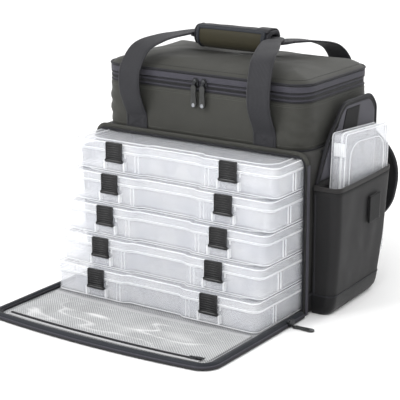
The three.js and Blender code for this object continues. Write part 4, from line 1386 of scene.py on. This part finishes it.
def add_shoulder_strap(side, label, pad_high):
    """A shoulder strap: a padded band swept along its bowed route, narrower and thinner
    towards its ends, with bound edges, webbing, ladder lock and lower strap."""
    lock_low, lock_high = box_mm(f"ladder_lock_{label}")
    start = pad_high[1] + 14.8
    top = shell_high[2]
    route = np.array([(48, 0, 12), (64, 18, 4), (108, 47, -28), (148, 59, -70),
                      (153, 50, -112), (138, 32, -142)], float)
    line = spline(route * (side, 1, 1) + (0, start, top), 90)
    share = np.linspace(0, 1, 90)
    width = 66 - 8 * share
    ends = np.clip(np.minimum(share, 1 - share) / 0.06, 0, 1) ** 0.5
    section = outline(1, 1, 0.62, 5, 9, 1)
    size = np.stack([width / 2 * (0.72 + 0.28 * ends), 5.3 * (0.45 + 0.55 * ends)], -1)
    up = np.array((0.25 * side, 1, 0.25))
    pad = piece(f"shoulder_cushion_{label}", sweep(line, section[None] * size[:, None], up),
                "foam", "pack")
    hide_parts(f"shoulder_pad_{label}")
    _, across, out = frames(line, up)
    for edge_label, sign in (("a", -1), ("b", 1)):
        edge = line + across * (sign * size[:, :1])
        piece(f"shoulder_binding_{label}_{edge_label}",
              sweep(edge[2:-2], round_profile(3.4, 6.4, 1.6), up), "piping", "pack")
    strap = line + out * (size[:, 1:] + 0.9)
    piece(f"shoulder_webbing_{label}", sweep(strap[3:], strap_profile(25, 1.8), up),
          "webbing", "pack")
    # sewn root between the back cushion and the pad
    root = spline([(side * 44, pad_high[1] - 3, top + 34), (side * 45, pad_high[1] + 5, top + 30),
                   (side * 47, start - 3, top + 20), line[3]], 24)
    piece(f"shoulder_root_{label}", sweep(root, round_profile(50, 4.0, 1.8), (0, 1, 0.6)),
          "piping", "pack")
    # ladder lock: two side bars and three cross bars
    middle = (lock_low + lock_high) / 2
    half = (lock_high - lock_low) / 2
    bars = [slabs(middle + (s * (half[0] - 2) - 2, -half[1], -half[2]),
                  middle + (s * (half[0] - 2) + 2, half[1], half[2]), 1.0) for s in (-1, 1)]
    for z, tall in ((half[2] - 2.2, 2.2), (-1.6, 1.6), (1.8 - half[2], 1.8)):
        bars.append(slabs(middle + (-half[0] + 2, -half[1] * 0.8, z - tall),
                          middle + (half[0] - 2, half[1] * 0.8, z + tall), 0.9))
    lock = piece(f"ladder_buckle_{label}", join(*bars), "buckle", "pack")
    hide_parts(f"ladder_lock_{label}")
    foot = np.array([side * (guard_high[0] - 25.8), guard_high[1] + 5.3, guard_high[2] / 2])
    leave = np.array([middle[0], middle[1], lock_low[2] - 0.3])
    below = leave - (0, 0, 9)
    sag = below + (foot - below) * 0.4 + (0, 7, 0)
    upper = [middle + (0, half[1] + 0.6, half[2] - 5), middle + (0, half[1] + 1.2, 0)]
    drop = spline([*upper, leave + (0, 1.0, 0), below, sag, foot], 70)
    web = piece(f"lower_strap_{label}", sweep(drop, strap_profile(25, 1.9),
                                              (0.1 * side, 1, 0.3)),
                "webbing", "pack")
    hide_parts(f"lower_webbing_{label}")
    anchor = foot + (0, -1.6, 3)
    u = np.linspace(0, 1, 10)[:, None]
    v = np.linspace(-1, 1, 12)[None]
    grid = np.stack([anchor[0] + v * (13 + 9 * u), anchor[1] - 1.0 - 1.4 * u + 0 * v,
                     anchor[2] + 12 - 20 * u + 0 * v], -1)
    piece(f"lower_anchor_{label}", thick(grid, 1.8), "boot", "pack")


# ---- tackle boxes -------------------------------------------------------------------


def box_loop(width, depth, inset, radius, recess):
    """Plan of a box about x = 0, from y = 0: rounded corners, and a shallow recess in the
    middle of the front side."""
    half_x, half_y = width / 2 - inset, depth / 2 - inset
    loop = outline(half_x, half_y, radius, 6, 44, 14) + (0, depth / 2)
    front = loop[:, 1] < inset + 1
    dip = smooth((49 - np.abs(loop[:, 0])) / 4) * recess * front
    return loop + np.stack([0 * dip, dip], -1)


def box_shapes(width, depth, height, rim, radius, recess):
    """Tray, lid, edge beads, partitions and slot ribs of one box, in its own measures:
    x across, y from the front, z up from its base."""
    seam = height - rim

    def ring(inset, z, corner=None):
        """The box's plan at one height, its corner radius following the inset."""
        corner = max(radius - inset, 2.0) if corner is None else corner
        return at_height(box_loop(width, depth, inset, corner, recess), z)

    outside = [ring(8, 0), ring(3.2, 0.9), ring(2.0, 3.6),
               *(ring(2.0, z) for z in np.linspace(8, seam - 4, 4)),
               ring(1.9, seam - 1.4), ring(2.2, seam - 0.4)]
    inside = [ring(3.6, seam - 0.4), ring(4.0, seam - 3),
              *(ring(4.0, z) for z in np.linspace(seam - 8, 6, 3)), ring(5.4, 2.9), ring(9, 1.9)]
    tray = loft(np.array(outside + inside))
    lid_rings = [ring(24, height - 3.4, 12), ring(4.2, height - 3.2), ring(2.2, height - 5),
                 ring(1.9, seam + 0.3), ring(0.2, seam + 0.3), ring(-0.4, seam + 1.1),
                 ring(-0.3, seam + 2.0), ring(0.5, seam + 2.8), ring(0.6, height - 3.0),
                 ring(1.3, height - 1.2), ring(3.0, height - 0.3), ring(5.0, height - 0.1),
                 ring(8.0, height - 0.1, 8), ring(9.2, height - 0.7, 9),
                 ring(9.8, height - 1.5, 10), ring(14.2, height - 1.6, 24),
                 ring(15.2, height - 0.6, 25), ring(17.0, height - 0.6, 26),
                 ring(18.0, height - 1.6, 27), ring(26, height - 1.7, 24)]
    lid = loft(np.array(lid_rings))
    beads = join(sweep(ring(-0.2, seam + 1.4), round_profile(1.5, 1.7, 0.7), closed=True),
                 sweep(ring(1.5, seam - 1.2), disc(0.9, 8), closed=True),
                 sweep(ring(2.2, height - 0.9), disc(0.9, 8), closed=True),
                 sweep(ring(2.6, 2.0), disc(0.8, 8), closed=True),
                 sweep(ring(16.1, height - 0.5, 25), disc(0.9, 8), closed=True))
    bays = depth * np.array([0.25, 0.5, 0.75])
    top = seam - 3.0
    slabs_at = [((-width / 2 + 4, y - 0.7, 1.9), (width / 2 - 4, y + 0.7, top)) for y in bays]
    # upright slot ribs on both faces of the partitions and on the long walls, left out
    # where the front wall is recessed
    places = np.arange(-width / 2 + 18, width / 2 - 14, 24.8)
    faces = [(4.0 + recess * 0.1, 6.0)]
    for y in bays:
        faces += [(y - 2.7, y - 0.7), (y + 0.7, y + 2.7)]
    faces.append((depth - 6.0, depth - 4.0))
    for first, last in faces:
        slabs_at += [((x - 0.55, first, 2.2), (x + 0.55, last, top - 1.0))
                     for x in places if first > 5 or abs(x) > 52]
    low, high = (np.array(ends) for ends in zip(*slabs_at))
    return {"tray": tray, "lid": lid, "beads": beads, "bays": (low, high),
            "seam": seam, "top": top}


def add_box(index):
    """One tackle box on its own body: clear skins, beads, cross walls set out in four
    rows of bays, posts beside the latches, ribs on its walls and two latches."""
    lid_a, lid_b = box_mm(f"box_{index}_lid")
    base = box_mm(f"box_{index}_tray")[0][2]
    width, depth, rim = lid_b - lid_a
    height = lid_b[2] - base
    move = np.array([0, lid_a[1], base])
    body = f"box_{index}"
    parts = box_shapes(width, depth, height, rim, 13.0, 5.0)

    def moved(shape):
        """A shape in the box's own measures, in its place in the pack."""
        return (shape[0] + move, shape[1])

    tray = piece(f"{body}_clear_tray", moved(parts["tray"]), "clear", body)
    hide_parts(f"{body}_tray")
    lid = piece(f"{body}_clear_lid", moved(parts["lid"]), "clear", body)
    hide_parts(f"{body}_lid")
    # the edge beads take the whiter copy of the clear plastic, partly a painted highlight on the
    # rims and the lid's ridge
    piece(f"{body}_edge_beads", moved(parts["beads"]), "clear_painted_highlight", body)
    low, high = parts["bays"]
    seam, top = parts["seam"], parts["top"]
    walls = ((-132, -122, -62, -50, 50, 62, 122, 132), (-104, -38, 28, 92), (-118, -20, 66),
             (-84, 0, 104))
    starts = depth * np.array([0, 0.25, 0.5, 0.75]) + (4.2, 0.9, 0.9, 0.9)
    ends = depth * np.array([0.25, 0.5, 0.75, 1]) - (0.9, 0.9, 0.9, 4.2)
    cross = [(x, a, b) for row, a, b in zip(walls, starts, ends) for x in row]
    cross_low = np.array([(x - 0.5, a, 2.0) for x, a, _ in cross])
    cross_high = np.array([(x + 0.5, b, top - 0.8) for x, _, b in cross])
    ribs = slabs(np.concatenate([low, cross_low]), np.concatenate([high, cross_high]), 0.25)
    piece(f"{body}_partitions", moved(ribs), "clear_rib", body, flat=True)
    # posts and guards beside the latches, and stiffening ribs on the side and front walls
    posts = []
    for x in (x + off for x in (-99, 99) for off in (-17.6, 17.6)):
        posts += [((x - 1.5, -3.2, 5.0), (x + 1.5, 3.4, 17.5)),
                  ((x - 1.2, 0.6, seam - 8), (x + 1.2, 3.0, seam - 1))]
    for x in (1.7 - width / 2, width / 2 - 1.7):
        posts += [((x - 1.0, y - 0.7, 4), (x + 1.0, y + 0.7, seam - 2))
                  for y in (45, 52, depth - 52, depth - 45)]
    posts += [((x - 0.6, 1.1, 4), (x + 0.6, 3.0, seam - 2)) for x in (-64, -58, 58, 64)]
    piece(f"{body}_posts", moved(slabs(*zip(*posts), 0.5)), "clear_painted_highlight", body,
          flat=True)
    for label in ("left", "right"):
        add_latch(f"{body}_latch_{label}")


def add_latch(node):
    """A snap latch: a plate whose face is a shallow parabola over its height, with eight
    ribs, a hook over the lid's rim, two cheeks and a hinge bar whose pin stands out."""
    low, high = box_mm(node)
    left, right, front = low[0], high[0], low[1]

    def face(z):
        """The plate's face at a share of its height."""
        return front + 2.7 + 0.9 * (2 * z - 1) ** 2

    share = np.linspace(0, 1, 15)
    x, z = np.meshgrid(np.linspace(left + 1.2, right - 1.2, 9),
                       np.linspace(low[2] + 1.0, high[2] - 1.0, 15))
    grid = np.stack([x, np.broadcast_to(face(share)[:, None], x.shape), z], -1)
    plate = wall(grid, grid + 2.2 * Y)
    heights = np.linspace(low[2] + 3.4, high[2] - 3.6, 8)
    proud = face((heights - low[2]) / (high[2] - low[2]))
    ribs = slabs([(left + 1.6, y - 1.5, z - 0.85) for y, z in zip(proud, heights)],
                 [(right - 1.6, y + 0.8, z + 0.85) for y, z in zip(proud, heights)], 0.6)
    hook = slabs((left + 1.2, front + 3.0, high[2] - 2.6),
                 (right - 1.2, high[1] - 0.2, high[2] - 0.4), 0.7)
    cheeks = slabs([(x, front + 2.0, low[2] + 1.0) for x in (left + 0.4, right - 2.4)],
                   [(x, front + 5.4, high[2] - 1.0) for x in (left + 2.4, right - 0.4)], 0.8)
    bar = np.array([(x, front + 3.6, low[2] + 3.0) for x in (left + 0.6, right - 0.6)])
    barrel = sweep(resample(bar, 6), disc(2.8, 14))
    pin = sweep(resample(bar + [-1.6 * X, 1.6 * X], 6), disc(1.5, 10))
    made = piece(f"{node}_snap", join(plate, ribs, hook, cheeks, barrel, pin),
                 "latch", node)
    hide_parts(node)


def add_small_box():
    """The slim box on the right wall, standing on its end with its lid outwards: its own
    measures are turned on end, leant about x and moved to the middle of its place."""
    tray_low, _ = box_mm("small_box_tray")
    _, lid_b = box_mm("small_box_lid")
    height = lid_b[0] - tray_low[0]
    width, depth, rim, lean = 195.0, 134.0, 7.0, math.radians(-3.5)
    pivot = np.array([tray_low[0], 14.0, 157.68])
    parts = box_shapes(width, depth, height, rim, 9.0, 0.0)

    def placed(shape):
        """A shape in the box's own measures, stood on end, leant and moved."""
        local = shape[0]
        y = local[:, 1] - depth / 2
        z = -local[:, 0]
        turned = np.stack([pivot[0] + local[:, 2],
                           pivot[1] + y * math.cos(lean) - z * math.sin(lean),
                           pivot[2] + y * math.sin(lean) + z * math.cos(lean)], -1)
        return (turned, shape[1])

    tray = piece("small_clear_tray", placed(parts["tray"]), "clear", "small_box")
    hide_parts("small_box_tray")
    lid = piece("small_clear_lid", placed(parts["lid"]), "clear", "small_box")
    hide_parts("small_box_lid")
    piece("small_box_beads", placed(parts["beads"]), "clear_painted_highlight", "small_box")
    low, high = parts["bays"]
    piece("small_box_partitions", placed(slabs(low, high, 0.25)), "clear_rib",
          "small_box", flat=True)
    low, high = box_mm("small_box_latch")
    middle, half = (low + high) / 2, (high - low) / 2
    rows = np.linspace(-0.7, 0.7, 5)
    base = slabs(middle - half * (0.9, 0.35, 0.95), middle + half * (0.9, 0.6, 0.95), 0.8)
    grips = slabs([middle + half * (row - 0.08, -0.6, -0.85) for row in rows],
                  [middle + half * (row + 0.08, 0.1, 0.85) for row in rows], 0.4)
    made = piece("small_box_snap", join(base, grips), "clear_painted_highlight",
                 "small_box_latch")
    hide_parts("small_box_latch")


# ---- front flap ---------------------------------------------------------------------


def flap_loop(half, front, back, radius, count=300):
    """The flap's border from its right rear corner round the front to its left rear."""
    angle = np.linspace(0, math.pi / 2, 10)
    arc = np.stack([half - radius + radius * np.cos(angle),
                    front + radius - radius * np.sin(angle)], -1)
    line = np.concatenate([[(half, back)], arc, (arc * (-1, 1))[::-1], [(-half, back)]])
    return resample(line, count)


def flap_plate(half, front, back, z_low, z_high, radius, rows=46, columns=80):
    """A thin plate with round front corners: each row's half width follows the corner."""
    v = np.linspace(0, 1, rows)[:, None]
    u = np.linspace(-1, 1, columns)[None]
    y = front + (back - front) * v
    into = np.clip(radius - (y - front), 0, radius)
    reach = half - radius + np.sqrt(np.maximum(radius ** 2 - into ** 2, 0)) + 1e-3
    x = u * reach
    level = np.stack([x, y + 0 * u, 0 * x], -1)
    return level + z_high * Z, level + z_low * Z


def bowed(shape):
    """The lying flap has spread: towards the front its right side leans out by 3 mm, and
    its front edge bows forward by 14 mm in the middle."""
    points = shape[0].copy()
    share = np.clip((-108 - points[:, 1]) / 240, 0, 1)
    across = points[:, 0] / 188
    points[:, 0] += (1.5 + 1.5 * across) * np.sin(share * math.pi / 2)
    points[:, 1] -= (2 + 12 * (1 - across ** 2)) * share ** 2
    return (points, *shape[1:])


def add_front_flap():
    """The front flap lying open: an outer cloth and a netted lining, a rolled binding
    with piping, tape, teeth and stitches along the same border, and the net pocket."""
    panel_low, panel_high = box_mm("front_flap_panel")
    edge_low, edge_high = box_mm("front_flap_binding")
    back = panel_high[1]
    body = "front_flap"
    top, bottom = flap_plate(panel_high[0] + 3, panel_low[1] - 4, back, 0.2, 1.6, 16)
    cloth = piece("flap_outer_cloth", bowed(wall(top, bottom)), "canvas", body)
    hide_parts("front_flap_panel")
    top, bottom = flap_plate(panel_high[0] + 2, panel_low[1] - 3, back, 1.7, 3.3, 15)
    top[..., 2] += ripple(top, 60, 61) * 0.35
    lining = piece("flap_net_lining", bowed(wall(top, bottom)), "lining_net", body,
                   uv=np.concatenate([top, bottom]).reshape(-1, 3)[:, :2] * MM)
    # rolled binding round three sides
    middle = edge_high[0] - 4.6
    front = edge_low[1] + 4.6
    loop = flap_loop(middle, front, back - 1, 18)
    path = at_height(loop, edge_high[2] / 2 + 0.1)
    path[:, 2] += ripple(path, 120, 62) * 0.15
    roll = piece("flap_rolled_binding",
                 bowed(sweep(path, round_profile(9.0, edge_high[2] - 0.4, 4.0))),
                 "binding", body)
    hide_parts("front_flap_binding")
    inner = at_height(flap_loop(middle - 5.2, front + 5.2, back - 1, 13), 5.0)
    piece("flap_inner_piping", bowed(sweep(inner, disc(2.0, 10))), "piping", body)
    outer = at_height(flap_loop(middle + 4.9, front - 4.9, back - 1, 23), 3.2)
    piece("flap_zip_tape", bowed(sweep(outer, round_profile(2.4, 4.8, 0.8))),
          "tape", body)
    places = at_height(flap_loop(middle + 6.4, front - 6.4, back - 4, 24.4, 700), 2.2)
    tooth = np.array([0.6, 0.6, 1.3])
    piece("flap_zip_teeth", bowed(slabs(places - tooth, places + tooth, 0.3)),
          "coil", body)
    line = at_height(flap_loop(middle - 1.6, front + 1.6, back - 3, 17, 500), edge_high[2] - 0.45)
    piece("flap_binding_stitch", bowed(stitches(line, Z, 3.8, 2.5, 0.3)), "thread", body)
    add_net_pocket(body)
    # cloth hinge at the sill
    profile = np.array([(-101.5, 3.2), (-103.5, 1.6), (-106.0, 1.1), (-109.5, 1.7)])
    shape = spline(profile, 14)
    x = np.linspace(-178, 178, 60)
    grid = np.stack([x[None] + 0 * shape[:, :1], shape[:, :1] + 0 * x[None],
                     shape[:, 1:] + 0 * x[None]], -1)
    hinge = piece("flap_hinge_cloth", thick(grid, 0.7), "piping", None)
    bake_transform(hinge)


def add_net_pocket(body):
    """The net pocket over the front of the flap: a loose net raised by smooth creases and
    sharp ridges, which are one less the steep size of a second noise, with its zip."""
    net_low, net_high = box_mm("mesh_pocket")
    rows, columns = 44, 110
    v = np.linspace(0, 1, rows)[:, None]
    u = np.linspace(-1, 1, columns)[None]
    x = u * net_high[0] + 0 * v
    y = net_low[1] + (net_high[1] - net_low[1]) * v + 0 * u
    y = y - 2.5 * (1 - u ** 2) * v
    fade = (1 - np.abs(u) ** 8) * (np.sin(math.pi * np.clip(v, 0, 1)) ** 0.4)
    flat = np.stack([x, y, 0 * x], -1)
    creases = (ripple(flat * (1, 0.35, 0), 46, 63) * 0.9
               + ripple(flat * (0.4, 1.6, 0), 30, 64) * 0.5)
    # these ridges and creases also carry the net finish's painted highlight on their crests
    ridges = np.clip(1 - 4.5 * np.abs(ripple(flat * (0.35, 1.5, 0), 52, 65)), 0, 1) ** 1.5
    z = 4.3 + 0.8 * fade + creases * fade * 0.6 + ridges * fade * 1.5
    grid = np.stack([x, y, np.maximum(z, 3.95)], -1)
    net = piece("flap_net_pocket", bowed(thick(grid, 0.5)), "net", body,
                uv=np.tile(grid.reshape(-1, 3)[:, :2], (2, 1)) * MM)
    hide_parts("mesh_pocket")
    piece("net_pocket_hem", bowed(sweep(grid[-1], round_profile(8.0, 1.6, 0.7))),
          "net_edge", body)
    # dark zip along the front of the net pocket
    slider_low, slider_high = box_mm("mesh_zip_slider")
    zip_y = (slider_low[1] + slider_high[1]) / 2
    run = np.array([(-net_high[0] + 8, zip_y, 5.0), (net_high[0] - 8, zip_y, 5.0)])
    line = resample(run, 160)
    line[:, 2] += np.interp(line[:, 0], [-160, 0, 160], [0.2, 0.6, 0.2])
    piece("net_zip_tape", bowed(sweep(line, round_profile(13, 1.2, 0.5))),
          "net_edge", body)
    places = resample(line + 0.9 * Z, 330)
    tooth = np.array([0.36, 2.5, 0.7])
    piece("net_zip_teeth", bowed(slabs(places - tooth, places + tooth, 0.25)),
          "coil", body)
    slider_x = (slider_low[0] + slider_high[0]) / 2
    spot = np.array([slider_x, zip_y, slider_low[2]])
    slider = join(slabs(spot - (6.5, 3.6, 1.1), spot + (6.5, 3.6, 0.9), 0.8),
                  slabs(spot + (-3.5, -1.1, 0.6), spot + (4.0, 1.1, 1.7), 0.6),
                  slabs(spot + (3.0, -2.6, 1.0), spot + (17.0, 2.6, 1.8), 0.4))
    made = piece("net_zip_slider", bowed(slider), "slider", "mesh_zip_slider")
    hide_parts("mesh_zip_slider")


# ---- the whole pack -----------------------------------------------------------------


def make_pack():
    """Camera, studio and every piece, from the floor of the pack upwards."""
    add_camera()
    add_studio()
    add_lower_compartment()
    add_front_flange()
    add_upper_compartment()
    add_top_zip()
    add_lid()
    for name in ("left", "right"):
        add_slider(name)
    dress("front_slider", "slider")
    add_pull("front_pull", "front_puller", hangs=False)
    add_handle("front_handle", -1)
    add_handle("rear_handle", 1)
    add_grip()
    add_pocket(1, "right")
    add_pocket(-1, "left")
    add_pocket_patch()
    add_right_flap()
    add_left_flap()
    add_back()
    for index in range(1, BOX_COUNT + 1):
        add_box(index)
    add_small_box()
    add_front_flap()


make_pack()
